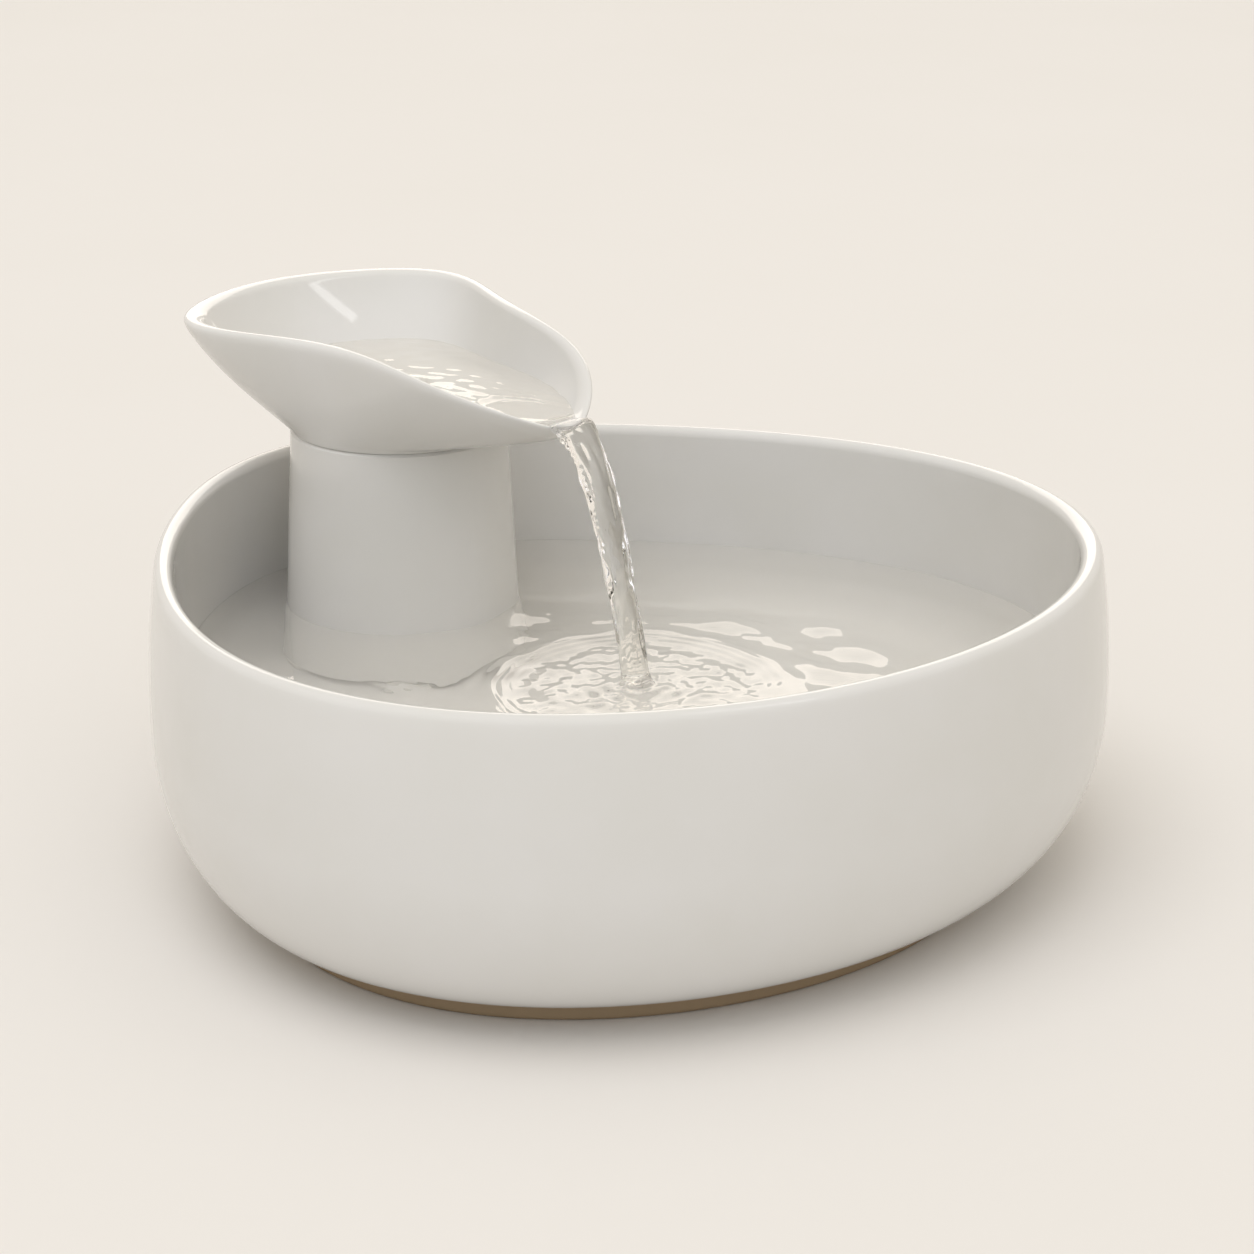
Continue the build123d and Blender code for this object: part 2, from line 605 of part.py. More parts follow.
with BuildPart() as epoxy_fill:
    with BuildSketch(pump_station(-PUMP_BACK)):
        with Locations((0, (CAVITY_Z + CAVITY_TOP_Z) / 2)):
            RectangleRounded(WINDOW_WIDTH, WINDOW_HEIGHT, WINDOW_CORNER)
    extrude(amount=PUMP_WALL)

epoxy_fill.part.label = "epoxy_fill"
export_step(epoxy_fill.part, "parts/epoxy_fill.step")

with BuildPart() as cable_gland:
    with BuildSketch(tower_section()):
        with BuildLine():
            Polyline((GLAND_X + CABLE_HOLE_R, CAVITY_TOP_Z),
                     (GLAND_X + GLAND_R - GLAND_LIP, CAVITY_TOP_Z),
                     (GLAND_X + GLAND_R - GLAND_LIP, PUMP_TOP_Z), (GLAND_X + GLAND_R, PUMP_TOP_Z),
                     (GLAND_X + GLAND_R, PUMP_TOP_Z + GLAND_LIP),
                     (GLAND_X + CABLE_HOLE_R + GLAND_LIP, PUMP_TOP_Z + GLAND_HEIGHT),
                     (GLAND_X + CABLE_HOLE_R, PUMP_TOP_Z + GLAND_HEIGHT), close=True)
        make_face()
    revolve(axis=Axis((TOWER_X + GLAND_X, 0, 0), (0, 0, 1)))

cable_gland.part.label = "cable_gland"
export_step(cable_gland.part, "parts/cable_gland.step")

with BuildPart() as suction_cup:
    with BuildSketch(Plane.XZ):
        with BuildLine():
            Polyline((0, CUP_HOLLOW), (CUP_R - CUP_EDGE, 0), (CUP_R, 0),
                     (CUP_WAIST_R, CUP_WAIST_UP), (CUP_SHOULDER_R, CUP_HEIGHT),
                     (CUP_STEM_R, CUP_HEIGHT), (CUP_STEM_R, CUP_HEIGHT + PUMP_WALL),
                     (0, CUP_HEIGHT + PUMP_WALL), close=True)
        make_face()
    revolve(axis=Axis.Z)

with BuildPart() as suction_cups:
    for x in (CUP_BACK_X, CUP_FRONT_X):
        for y in (-CUP_Y, CUP_Y):
            with Locations((TOWER_X + x, y, FLOOR_Z)):
                add(suction_cup.part)

suction_cups.part.label = "suction_cups"
export_step(suction_cups.part, "parts/suction_cups.step")

# ------------------------------------------------------------------ pump motor
LIMB_Z = CAVITY_Z + COIL_BUILD + BOBBIN_WALL + FIT_GAP
CORE_X = -CORE_BACK + CORE_THICKNESS / 2
LIMB_MIDDLE_Z = LIMB_Z + CORE_LIMB / 2

with BuildPart() as stator_core:
    with BuildSketch(pump_station(-CORE_BACK)):
        with Locations((0, LIMB_Z)):
            Rectangle(2 * CORE_HALF_WIDTH, SHAFT_Z + MAGNET_R - LIMB_Z,
                      align=(Align.CENTER, Align.MIN))
        with Locations((0, LIMB_Z + CORE_LIMB)):
            Rectangle(2 * (BOBBIN_HALF_LENGTH + FIT_GAP), PUMP_HEIGHT,
                      align=(Align.CENTER, Align.MIN), mode=Mode.SUBTRACT)
        with Locations((0, SHAFT_Z)):
            Circle(WELL_R + WELL_WALL + FIT_GAP, mode=Mode.SUBTRACT)
    extrude(amount=CORE_THICKNESS)

stator_core.part.label = "stator_core"
export_step(stator_core.part, "parts/stator_core.step")


def add_frame(build, wall):
    """Adds a rectangular ring round the core's limb, from build outside it, wall thick."""
    with Locations((CORE_X, LIMB_MIDDLE_Z)):
        Rectangle(CORE_THICKNESS + 2 * (build + wall), CORE_LIMB + 2 * (build + wall))
        Rectangle(CORE_THICKNESS + 2 * build, CORE_LIMB + 2 * build, mode=Mode.SUBTRACT)


with BuildPart() as coil_bobbin:
    with BuildSketch(tower_section()):
        add_frame(0.0, BOBBIN_WALL)
    extrude(amount=BOBBIN_HALF_LENGTH, both=True)
    for y in (-BOBBIN_HALF_LENGTH, BOBBIN_HALF_LENGTH - BOBBIN_WALL):
        with BuildSketch(tower_section().offset(-y)):
            add_frame(0.0, BOBBIN_WALL + COIL_BUILD)
        extrude(amount=-BOBBIN_WALL)

coil_bobbin.part.label = "coil_bobbin"
export_step(coil_bobbin.part, "parts/coil_bobbin.step")

with BuildPart() as coil_winding:
    with BuildSketch(tower_section()):
        add_frame(BOBBIN_WALL, COIL_BUILD - FIT_GAP)
    extrude(amount=BOBBIN_HALF_LENGTH - BOBBIN_WALL, both=True)

coil_winding.part.label = "coil_winding"
export_step(coil_winding.part, "parts/coil_winding.step")

# ------------------------------------------------------------------ rotor
MAGNET_X = -WELL_END + BUSH_LENGTH + SEAT_GAP
HUB_END_X = PUMP_FRONT - COVER_HUB - SEAT_GAP

with BuildPart() as rotor_magnet:
    with BuildSketch(pump_station(MAGNET_X, SHAFT_Z)):
        Circle(MAGNET_R)
        Circle(SHAFT_R + RUN_GAP, mode=Mode.SUBTRACT)
    extrude(amount=MAGNET_LENGTH)
    chamfer(rotor_magnet.edges().filter_by(GeomType.CIRCLE).group_by(SortBy.RADIUS)[-1], FIT_GAP)

rotor_magnet.part.label = "rotor_magnet"
export_step(rotor_magnet.part, "parts/rotor_magnet.step")

with BuildPart() as impeller:
    with BuildSketch(pump_station(MAGNET_X + MAGNET_LENGTH, SHAFT_Z)):
        Circle(IMPELLER_HUB_R)
    extrude(amount=HUB_END_X - MAGNET_X - MAGNET_LENGTH)
    with BuildSketch(pump_station(HUB_END_X - VANE_LENGTH, SHAFT_Z)):
        with PolarLocations(IMPELLER_R / 2, VANE_COUNT):
            Rectangle(IMPELLER_R, VANE_THICKNESS)
    extrude(amount=VANE_LENGTH)
    with BuildSketch(pump_station(MAGNET_X, SHAFT_Z)):
        Circle(SHAFT_R + RUN_GAP)
    extrude(amount=HUB_END_X - MAGNET_X, mode=Mode.SUBTRACT)

impeller.part.label = "impeller"
export_step(impeller.part, "parts/impeller.step")

with BuildPart() as rotor_shaft:
    with BuildSketch(pump_station(-WELL_END, SHAFT_Z)):
        Circle(SHAFT_R)
    extrude(amount=WELL_END + PUMP_FRONT - COVER_HUB + BUSH_LENGTH)

rotor_shaft.part.label = "rotor_shaft"
export_step(rotor_shaft.part, "parts/rotor_shaft.step")

for name, x in (("rear_bush", -WELL_END), ("front_bush", PUMP_FRONT - COVER_HUB)):
    with BuildPart() as bush:
        with BuildSketch(pump_station(x, SHAFT_Z)):
            Circle(BUSH_R)
            Circle(SHAFT_R, mode=Mode.SUBTRACT)
        extrude(amount=BUSH_LENGTH)
    bush.part.label = name
    export_step(bush.part, f"parts/{name}.step")

# ------------------------------------------------------------------ pump front
FRONT_HALF_WIDTH = PUMP_HALF_WIDTH - FRONT_INSET
FRONT_Z = PUMP_Z + FRONT_INSET
FRONT_HEIGHT = PUMP_HEIGHT - 2 * FRONT_INSET
FRONT_MIDDLE_Z = FRONT_Z + FRONT_HEIGHT / 2
COVER_FACE = PUMP_FRONT + COVER_THICKNESS

with BuildPart() as volute_cover:
    with BuildSketch(pump_station(PUMP_FRONT)):
        with Locations((0, FRONT_MIDDLE_Z)):
            RectangleRounded(2 * FRONT_HALF_WIDTH, FRONT_HEIGHT, FRONT_CORNER)
        with Locations((0, SHAFT_Z)):
            Circle(INTAKE_R, mode=Mode.SUBTRACT)
            Circle(BUSH_R + SPOKE_WIDTH)
            with PolarLocations(INTAKE_R / 2 + SPOKE_WIDTH / 2, 3):
                Rectangle(INTAKE_R, SPOKE_WIDTH)
    extrude(amount=COVER_THICKNESS)
    with BuildSketch(pump_station(PUMP_FRONT - COVER_HUB, SHAFT_Z)):
        Circle(BUSH_R + SPOKE_WIDTH)
    extrude(amount=COVER_HUB)
    with BuildSketch(pump_station(PUMP_FRONT - COVER_HUB, SHAFT_Z)):
        Circle(BUSH_R)
    extrude(amount=BUSH_LENGTH, mode=Mode.SUBTRACT)

volute_cover.part.label = "volute_cover"
export_step(volute_cover.part, "parts/volute_cover.step")

with BuildPart() as cover_seal:
    with BuildSketch(pump_station(PUMP_FRONT - SEAL_GROOVE, SHAFT_Z)):
        Circle(CHAMBER_R + SEAL_LAND + SEAL_RING - SLIP_GAP)
        Circle(CHAMBER_R + SEAL_LAND + SLIP_GAP, mode=Mode.SUBTRACT)
    extrude(amount=SEAL_GROOVE)

cover_seal.part.label = "cover_seal"
export_step(cover_seal.part, "parts/cover_seal.step")

SLIDER_X = COVER_FACE + SLIDER_STANDOFF
STRAINER_TOP_Z = FRONT_Z + FRONT_HEIGHT
SHUTTER_Y = INTAKE_R + FIT_GAP
STEM_Y = SHUTTER_Y + SLIDER_WIDTH / 2

with BuildPart() as strainer:
    with BuildSketch(pump_station(COVER_FACE)):
        with Locations((0, FRONT_MIDDLE_Z)):
            RectangleRounded(2 * FRONT_HALF_WIDTH, FRONT_HEIGHT, FRONT_CORNER)
    extrude(amount=STRAINER_DEPTH)
    chamfer(strainer.faces().sort_by(Axis.X)[-1].edges(), STRAINER_EDGE)
    with BuildSketch(pump_station(COVER_FACE)):
        with Locations((0, FRONT_MIDDLE_Z)):
            RectangleRounded(2 * (FRONT_HALF_WIDTH - STRAINER_WALL),
                             FRONT_HEIGHT - 2 * STRAINER_WALL, FRONT_CORNER - STRAINER_WALL / 2)
    extrude(amount=STRAINER_DEPTH - STRAINER_WALL, mode=Mode.SUBTRACT)
    # Slots through the front face, and the slider's slot through the top.
    with BuildSketch(pump_station(COVER_FACE)):
        with Locations((0, FRONT_MIDDLE_Z)):
            with GridLocations(STRAINER_SLOT_PITCH, 0, STRAINER_SLOTS, 1):
                SlotOverall(FRONT_HEIGHT - 4 * STRAINER_WALL, STRAINER_SLOT, rotation=90)
    extrude(amount=STRAINER_DEPTH, mode=Mode.SUBTRACT)
    with BuildSketch(tower_level(STRAINER_TOP_Z - 2 * STRAINER_WALL)):
        with Locations((SLIDER_X + SLIDER_THICKNESS / 2, STEM_Y - SLIDER_TRAVEL / 2)):
            Rectangle(SLIDER_THICKNESS + 2 * SEAT_GAP,
                      SLIDER_TRAVEL + STEM_WIDTH + 2 * SEAT_GAP)
    extrude(amount=2 * STRAINER_WALL, mode=Mode.SUBTRACT)

strainer.part.label = "strainer"
export_step(strainer.part, "parts/strainer.step")

with BuildPart() as flow_slider:
    with BuildSketch(pump_station(SLIDER_X)):
        with Locations((STEM_Y, SHAFT_Z)):
            Rectangle(SLIDER_WIDTH, 2 * INTAKE_R)
        with Locations((STEM_Y, SHAFT_Z)):
            Rectangle(STEM_WIDTH, STRAINER_TOP_Z + THUMB_HEIGHT - SHAFT_Z,
                      align=(Align.CENTER, Align.MIN))
    extrude(amount=SLIDER_THICKNESS)
    with BuildSketch(tower_level(STRAINER_TOP_Z + SEAT_GAP)):
        with Locations((SLIDER_X + SLIDER_THICKNESS / 2, STEM_Y)):
            RectangleRounded(THUMB_DEPTH, THUMB_WIDTH, THUMB_ROUND)
    extrude(amount=THUMB_HEIGHT)

flow_slider.part.label = "flow_slider"
export_step(flow_slider.part, "parts/flow_slider.step")

with BuildPart() as foam_prefilter:
    with BuildSketch(tower_level(FLOOR_Z)) as plan:
        with Locations((COVER_FACE + (STRAINER_DEPTH + FOAM_FRONT) / 2, 0)):
            Rectangle(STRAINER_DEPTH + FOAM_FRONT, 2 * (FRONT_HALF_WIDTH + FOAM_SIDE))
        fillet(plan.vertices().group_by(Axis.X)[-1], PUMP_CORNER)
        with Locations((COVER_FACE + STRAINER_DEPTH / 2, 0)):
            Rectangle(STRAINER_DEPTH, 2 * FRONT_HALF_WIDTH, mode=Mode.SUBTRACT)
    extrude(amount=FOAM_HEIGHT)

foam_prefilter.part.label = "foam_prefilter"
export_step(foam_prefilter.part, "parts/foam_prefilter.step")
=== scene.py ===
"""Pet water fountain, dressed: a glazed bowl, a column over a small pump, and a pouring spout dish.

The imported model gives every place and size. The ceramic shells and the water are surfaces worked
out from formulas, and the small parts keep their solids and get their finish here. Lengths are in
millimetres until a mesh is made, and MM turns them to metres. Lamps are placed in metres.
"""

from __future__ import annotations

import json
import logging
from dataclasses import dataclass
from enum import Enum
from math import cos, pi, radians, sin

import bpy
import numpy as np
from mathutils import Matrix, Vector

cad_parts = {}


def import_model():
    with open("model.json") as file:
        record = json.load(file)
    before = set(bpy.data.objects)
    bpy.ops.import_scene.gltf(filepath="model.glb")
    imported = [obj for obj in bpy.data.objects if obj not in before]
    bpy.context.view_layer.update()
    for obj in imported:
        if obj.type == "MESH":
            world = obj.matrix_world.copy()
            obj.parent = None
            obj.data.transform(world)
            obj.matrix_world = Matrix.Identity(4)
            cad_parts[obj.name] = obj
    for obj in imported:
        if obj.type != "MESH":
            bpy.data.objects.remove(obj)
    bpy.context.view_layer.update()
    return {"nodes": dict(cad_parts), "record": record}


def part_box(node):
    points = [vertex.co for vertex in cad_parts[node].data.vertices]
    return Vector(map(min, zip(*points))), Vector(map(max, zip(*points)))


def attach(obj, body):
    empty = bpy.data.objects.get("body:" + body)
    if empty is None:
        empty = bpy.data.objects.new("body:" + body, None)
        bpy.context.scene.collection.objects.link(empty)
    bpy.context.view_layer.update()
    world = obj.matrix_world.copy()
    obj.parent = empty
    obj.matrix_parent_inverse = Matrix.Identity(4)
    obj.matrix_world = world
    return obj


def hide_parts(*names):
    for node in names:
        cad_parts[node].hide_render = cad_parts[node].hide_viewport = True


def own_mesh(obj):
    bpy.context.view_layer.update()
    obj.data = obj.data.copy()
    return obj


MM = 0.001
LOG = logging.getLogger("fountain")

Material = bpy.types.Material
Object = bpy.types.Object
Socket = bpy.types.NodeSocket
Tree = bpy.types.NodeTree
Array = np.ndarray
Pair = tuple[float, float]
Triple = tuple[float, float, float]

ROUND_STEPS = 6             # points along a rounded corner of a profile

# What a noise texture mostly keeps to, and the middle of that, where two tones cross over.
SPREAD: Pair = (0.3, 0.7)
TONES: Pair = (0.35, 0.65)


# ---------------------------------------------------------------- colours and nodes
def linear(code: str) -> tuple[float, ...]:
    """Turns an sRGB hex colour, such as "E8E4DC", to linear RGBA with an alpha of 1."""
    parts = np.array([int(code[k:k + 2], 16) for k in (0, 2, 4)]) / 255.0
    parts = np.where(parts <= 0.04045, parts / 12.92, ((parts + 0.055) / 1.055) ** 2.4)
    return (*parts.tolist(), 1.0)


def add_node(tree: Tree, kind: str, feeds: dict | None = None, **settings: object
             ) -> bpy.types.Node:
    """Adds a shader node with its settings, values and links.

    Args:
        tree: The node tree.
        kind: The node's type name, without ShaderNode in front.
        feeds: For an input's name or number, an output socket to link or a value to set.
        **settings: Properties of the node itself.

    Returns:
        The new node.
    """
    node = tree.nodes.new("ShaderNode" + kind)
    for name, value in settings.items():
        setattr(node, name, value)
    for key, value in (feeds or {}).items():
        if isinstance(value, Socket):
            tree.links.new(value, node.inputs[key])
        else:
            node.inputs[key].default_value = value
    return node


def new_material(name: str) -> tuple[Material, Tree]:
    """Makes a material with an empty node tree.

    Args:
        name: Name of the material.

    Returns:
        The material and its tree.
    """
    material = bpy.data.materials.new(name)
    material.use_nodes = True
    material.node_tree.nodes.clear()
    return material, material.node_tree


def object_place(tree: Tree, stretch: Triple = (1, 1, 1)) -> Socket:
    """Object coordinates in millimetres, in which patterns are stretched along X, Y and Z."""
    place = add_node(tree, "TexCoord").outputs["Object"]
    return add_node(tree, "Mapping", {
        "Vector": place, "Scale": tuple(1.0 / (MM * share) for share in stretch)}).outputs[0]


def noise(tree: Tree, place: Socket, size: float, detail: float = 3.0) -> Socket:
    """Cloudy noise from 0 to 1, whose patches are about size millimetres across."""
    return add_node(tree, "TexNoise",
                    {"Vector": place, "Scale": 1.0 / size, "Detail": detail}).outputs["Fac"]


def between(tree: Tree, value: Socket, span: Pair, onto: Pair = (0.0, 1.0)) -> Socket:
    """Maps a value from one range onto another, held at its ends."""
    return add_node(tree, "MapRange", {
        "Value": value, "From Min": span[0], "From Max": span[1], "To Min": onto[0],
        "To Max": onto[1]}).outputs["Result"]


def uneven(tree: Tree, place: Socket, size: float, middle: float, reach: float) -> Socket:
    """Noise that wanders this far to either side of a middle value."""
    return between(tree, noise(tree, place, size), SPREAD, (middle - reach, middle + reach))


def blend_colour(tree: Tree, share: Socket, first: str | Socket, second: str | Socket) -> Socket:
    """Goes from one colour to another, each a hex code or a socket, as the share goes to 1."""
    ends = [linear(end) if isinstance(end, str) else end for end in (first, second)]
    return add_node(tree, "Mix", {0: share, 6: ends[0], 7: ends[1]}, data_type="RGBA").outputs[2]


def raised(tree: Tree, height: Socket, depth: float, under: Socket | None = None) -> Socket:
    """Normal of a bump this many millimetres deep, for a height up to 1, over a coarser bump."""
    feeds = {"Height": height, "Distance": depth * MM} | ({"Normal": under} if under else {})
    return add_node(tree, "Bump", feeds).outputs["Normal"]


def finish_surface(tree: Tree, feeds: dict) -> None:
    """Ends a material in a Principled shader with these inputs."""
    shader = add_node(tree, "BsdfPrincipled", feeds)
    add_node(tree, "OutputMaterial", {"Surface": shader.outputs["BSDF"]})


# ---------------------------------------------------------------- finishes
@dataclass(frozen=True)
class GlazedCeramic:
    """Cast stoneware under a clear glossy glaze: an even warm off-white with a soft, slightly
    uneven shine. The glaze gathers in broad clouds, and it ends on the foot ring, which is left
    dry below and shows the brown clay, darkened further as painted shade from the belly above."""

    name: str = "glazed_ceramic"
    glaze: str = "DDDCDA"
    pooled: str = "DBDAD7"
    # bare clay brown, made darker as painted shade for the foot ring's shade under the belly
    shaded_clay: str = "9C876C"
    gloss: Pair = (0.05, 0.08)
    dry: float = 0.75
    index: float = 1.5
    cloud_size: float = 34.0
    ripple_size: float = 9.0
    ripple_depth: float = 0.010
    grain_size: float = 0.7
    grain_depth: float = 0.0012
    dry_shaded_top: float = 4.6
    dry_shaded_fade: float = 0.4
    edge_size: float = 14.0
    edge_sway: float = 0.15

    def material(self) -> Material:
        """Builds the material.

        Returns:
            The material.
        """
        material, tree = new_material(self.name)
        place = object_place(tree)
        clouds = noise(tree, place, self.cloud_size)
        glazed = blend_colour(tree, between(tree, clouds, TONES), self.glaze, self.pooled)
        height = add_node(tree, "SeparateXYZ", {"Vector": place}).outputs["Z"]
        sway = between(tree, noise(tree, place, self.edge_size, 1.0), SPREAD,
                       (-self.edge_sway, self.edge_sway))
        edge = add_node(tree, "Math", {0: height, 1: sway}, operation="ADD").outputs[0]
        # The dry band is real bare clay, and its dark colour is also painted shade over the whole
        # foot ring under the belly.
        dry_shaded_foot = between(tree, edge, (self.dry_shaded_top, self.dry_shaded_top + self.dry_shaded_fade), (1.0, 0.0))
        gloss = between(tree, clouds, SPREAD, self.gloss)
        peel = raised(tree, noise(tree, place, self.ripple_size, 1.0), self.ripple_depth)
        finish_surface(tree, {
            "Base Color": blend_colour(tree, dry_shaded_foot, glazed, self.shaded_clay), "IOR": self.index,
            "Roughness": add_node(tree, "Mix", {0: dry_shaded_foot, 2: gloss, 3: self.dry}).outputs[0],
            "Normal": raised(tree, noise(tree, place, self.grain_size, 1.0), self.grain_depth,
                             peel)})
        return material


@dataclass(frozen=True)
class ClearWater:
    """Still or running water: nearly colourless, with its sharp reflections and bends of light.
    Where it isn't wholly clear, fine air beaten in by the fall gives it a pale veil. It casts no
    shadow."""

    name: str
    tint: str
    clear: float
    index: float = 1.333

    def material(self) -> Material:
        """Builds the material.

        Returns:
            The material.
        """
        material, tree = new_material(self.name)
        water = add_node(tree, "BsdfPrincipled", {
            "Base Color": linear(self.tint), "Roughness": 0.0, "IOR": self.index,
            "Transmission Weight": self.clear})
        through = add_node(tree, "BsdfTransparent")
        shadow = add_node(tree, "LightPath").outputs["Is Shadow Ray"]
        mixed = add_node(tree, "MixShader", {
            0: shadow, 1: water.outputs["BSDF"], 2: through.outputs["BSDF"]})
        add_node(tree, "OutputMaterial", {"Surface": mixed.outputs["Shader"]})
        return material


@dataclass(frozen=True)
class Moulded:
    """Injection-moulded plastic or rubber: even colour, slightly clouded, with the fine spark
    texture of the mould."""

    name: str
    colour: str
    shade: str
    roughness: float
    grain_size: float = 0.45
    grain_depth: float = 0.02
    clear: float = 0.0
    soft: float = 0.0
    soft_reach: float = 1.5
    cloud_size: float = 7.0
    sheen_size: float = 3.0
    sheen: float = 0.05

    def material(self) -> Material:
        """Builds the material.

        Returns:
            The material.
        """
        material, tree = new_material(self.name)
        place = object_place(tree)
        clouds = between(tree, noise(tree, place, self.cloud_size), TONES)
        rough = uneven(tree, place, self.sheen_size, self.roughness, self.sheen)
        grain = raised(tree, noise(tree, place, self.grain_size, 2.0), self.grain_depth)
        finish_surface(tree, {
            "Base Color": blend_colour(tree, clouds, self.colour, self.shade),
            "Roughness": rough, "Normal": grain,
            "Transmission Weight": self.clear, "Subsurface Weight": self.soft,
            "Subsurface Radius": (1.0, 1.0, 1.0), "Subsurface Scale": self.soft_reach * MM})
        return material


class Along(Enum):
    """The axis that a banded pattern repeats along."""

    X = "X"
    Y = "Y"


@dataclass(frozen=True)
class Banded:
    """Metal in fine bands: stacked laminations show as thin dark joints, and wound wire as round
    turns side by side, whose grooves are darkened as painted shade."""

    name: str
    colour: str
    joint_and_groove_shade: str
    roughness: float
    metallic: float
    pitch: float
    depth: float
    along: Along
    joint_and_groove_edge: Pair = (0.0, 0.35)
    sheen_size: float = 1.2
    sheen: float = 0.06

    def material(self) -> Material:
        """Builds the material.

        Returns:
            The material.
        """
        material, tree = new_material(self.name)
        place = object_place(tree)
        # A wave texture's bands are 2 pi / 20 units apart at a scale of 1.
        bands = add_node(tree, "TexWave", {
            "Vector": place, "Scale": 2 * pi / 20.0 / self.pitch, "Distortion": 0.0},
            bands_direction=self.along.value, wave_profile="SIN").outputs["Fac"]
        # Dark bands: real joints between laminations, and painted shade in the grooves between wire
        # turns.
        joints_and_groove_shade = between(tree, bands, self.joint_and_groove_edge)
        rough = uneven(tree, place, self.sheen_size, self.roughness, self.sheen)
        finish_surface(tree, {
            "Base Color": blend_colour(tree, joints_and_groove_shade, self.joint_and_groove_shade, self.colour),
            "Metallic": self.metallic, "Roughness": rough,
            "Normal": raised(tree, bands, self.depth)})
        return material


@dataclass(frozen=True)
class GroundSteel:
    """Stainless shaft, ground between centres: bright metal with faint turns round the axis."""

    name: str = "steel_shaft"
    colour: str = "C9CACB"
    mark: str = "AEB0B2"
    mark_size: float = 1.5
    squeeze: Triple = (0.06, 1.0, 1.0)
    gloss: Pair = (0.18, 0.3)
    depth: float = 0.004

    def material(self) -> Material:
        """Builds the material.

        Returns:
            The material.
        """
        material, tree = new_material(self.name)
        lines = noise(tree, object_place(tree, self.squeeze), self.mark_size, 4.0)
        finish_surface(tree, {
            "Base Color": blend_colour(tree, between(tree, lines, TONES), self.colour, self.mark),
            "Metallic": 1.0, "Roughness": between(tree, lines, SPREAD, self.gloss),
            "Normal": raised(tree, lines, self.depth)})
        return material


@dataclass(frozen=True)
class OpenFoam:
    """Reticulated polyurethane foam, 20 pores to the inch: a dark web round small open cells,
    whose near-black middles are painted shade for the depth of the open pores.
    """

    name: str = "foam"
    web: str = "4A4B4D"
    # near black: painted shade inside the open pores
    cell_shade: str = "141416"
    cell_size: float = 1.3
    web_edge: Pair = (0.04, 0.22)
    depth: float = 0.5
    roughness: float = 0.85

    def material(self) -> Material:
        """Builds the material.

        Returns:
            The material.
        """
        material, tree = new_material(self.name)
        cells = add_node(tree, "TexVoronoi", {
            "Vector": object_place(tree), "Scale": 1.0 / self.cell_size},
            feature="DISTANCE_TO_EDGE").outputs["Distance"]
        web = between(tree, cells, self.web_edge, (1.0, 0.0))
        # The near-black cell colour is painted shade standing in for the depth of the open pores.
        finish_surface(tree, {"Base Color": blend_colour(tree, web, self.cell_shade, self.web),
                              "Roughness": self.roughness,
                              "Normal": raised(tree, web, self.depth)})
        return material


@dataclass(frozen=True)
class StudioFloor:
    """Seamless paper sweep: warm cream with the faintest fibre."""

    name: str = "studio_floor"
    colour: str = "E8E5E2"
    fibre: str = "E6E3DF"
    fibre_size: float = 180.0
    roughness: float = 0.95
    shine: float = 0.1

    def material(self) -> Material:
        """Builds the material.

        Returns:
            The material.
        """
        material, tree = new_material(self.name)
        fibres = noise(tree, object_place(tree), self.fibre_size)
        finish_surface(tree, {"Base Color": blend_colour(tree, fibres, self.colour, self.fibre),
                              "Roughness": self.roughness, "Specular IOR Level": self.shine})
        return material


# ---------------------------------------------------------------- meshes
class Ends(Enum):
    """How the first and last ring of a surface are closed."""

    POLES = "each shut by a point at its middle"
    LOOP = "joined to each other"


def add_object(name: str, data: bpy.types.ID) -> Object:
    """Makes an object of a mesh, a camera or a lamp, and puts it in the scene."""
    made = bpy.data.objects.new(name, data)
    bpy.context.scene.collection.objects.link(made)
    return made


def ring_surface(name: str, rings: Array, ends: Ends) -> Object:
    """Makes a closed smooth surface through rings of points.

    Neighbouring rings are joined by four-sided faces. Where the rings run upwards on the outside
    and each ring runs anticlockwise seen from above, the faces point outwards.

    Args:
        name: Name of the object.
        rings: Points in millimetres, as an array of rings, points of a ring, and X, Y, Z.
        ends: How the first and last ring are closed.

    Returns:
        The object, at the origin.
    """
    rows, columns = rings.shape[:2]
    loop = ends is Ends.LOOP
    row = np.arange(rows if loop else rows - 1)[:, None]
    column = np.arange(columns)[None, :]
    after = (column + 1) % columns
    above = (row + 1) % rows
    faces = np.stack((row * columns + column, row * columns + after,
                      above * columns + after, above * columns + column), -1).reshape(-1, 4)
    points = rings.reshape(-1, 3)
    shapes = faces.tolist()
    if not loop:
        points = np.vstack((points, rings[0].mean(0), rings[-1].mean(0)))
        first, last = len(points) - 2, len(points) - 1
        start, turn = column[0], after[0]
        top = (rows - 1) * columns
        shapes += np.stack((np.full(columns, first), turn, start), -1).tolist()
        shapes += np.stack((top + start, top + turn, np.full(columns, last)), -1).tolist()
    mesh = bpy.data.meshes.new(name)
    mesh.from_pydata((points * MM).tolist(), [], shapes)
    mesh.polygons.foreach_set("use_smooth", np.ones(len(mesh.polygons), dtype=bool))
    mesh.update()
    return add_object(name, mesh)


def full_turn(count: int) -> Array:
    """Angles of a circle's points, from 0 up to but without a whole turn."""
    return np.arange(count) * 2 * pi / count


def bend(start: Array, corner: Array, finish: Array, share: Array) -> Array:
    """Quadratic curve that sets off towards a corner and turns to the finish."""
    return (1 - share) ** 2 * start + 2 * share * (1 - share) * corner + share**2 * finish


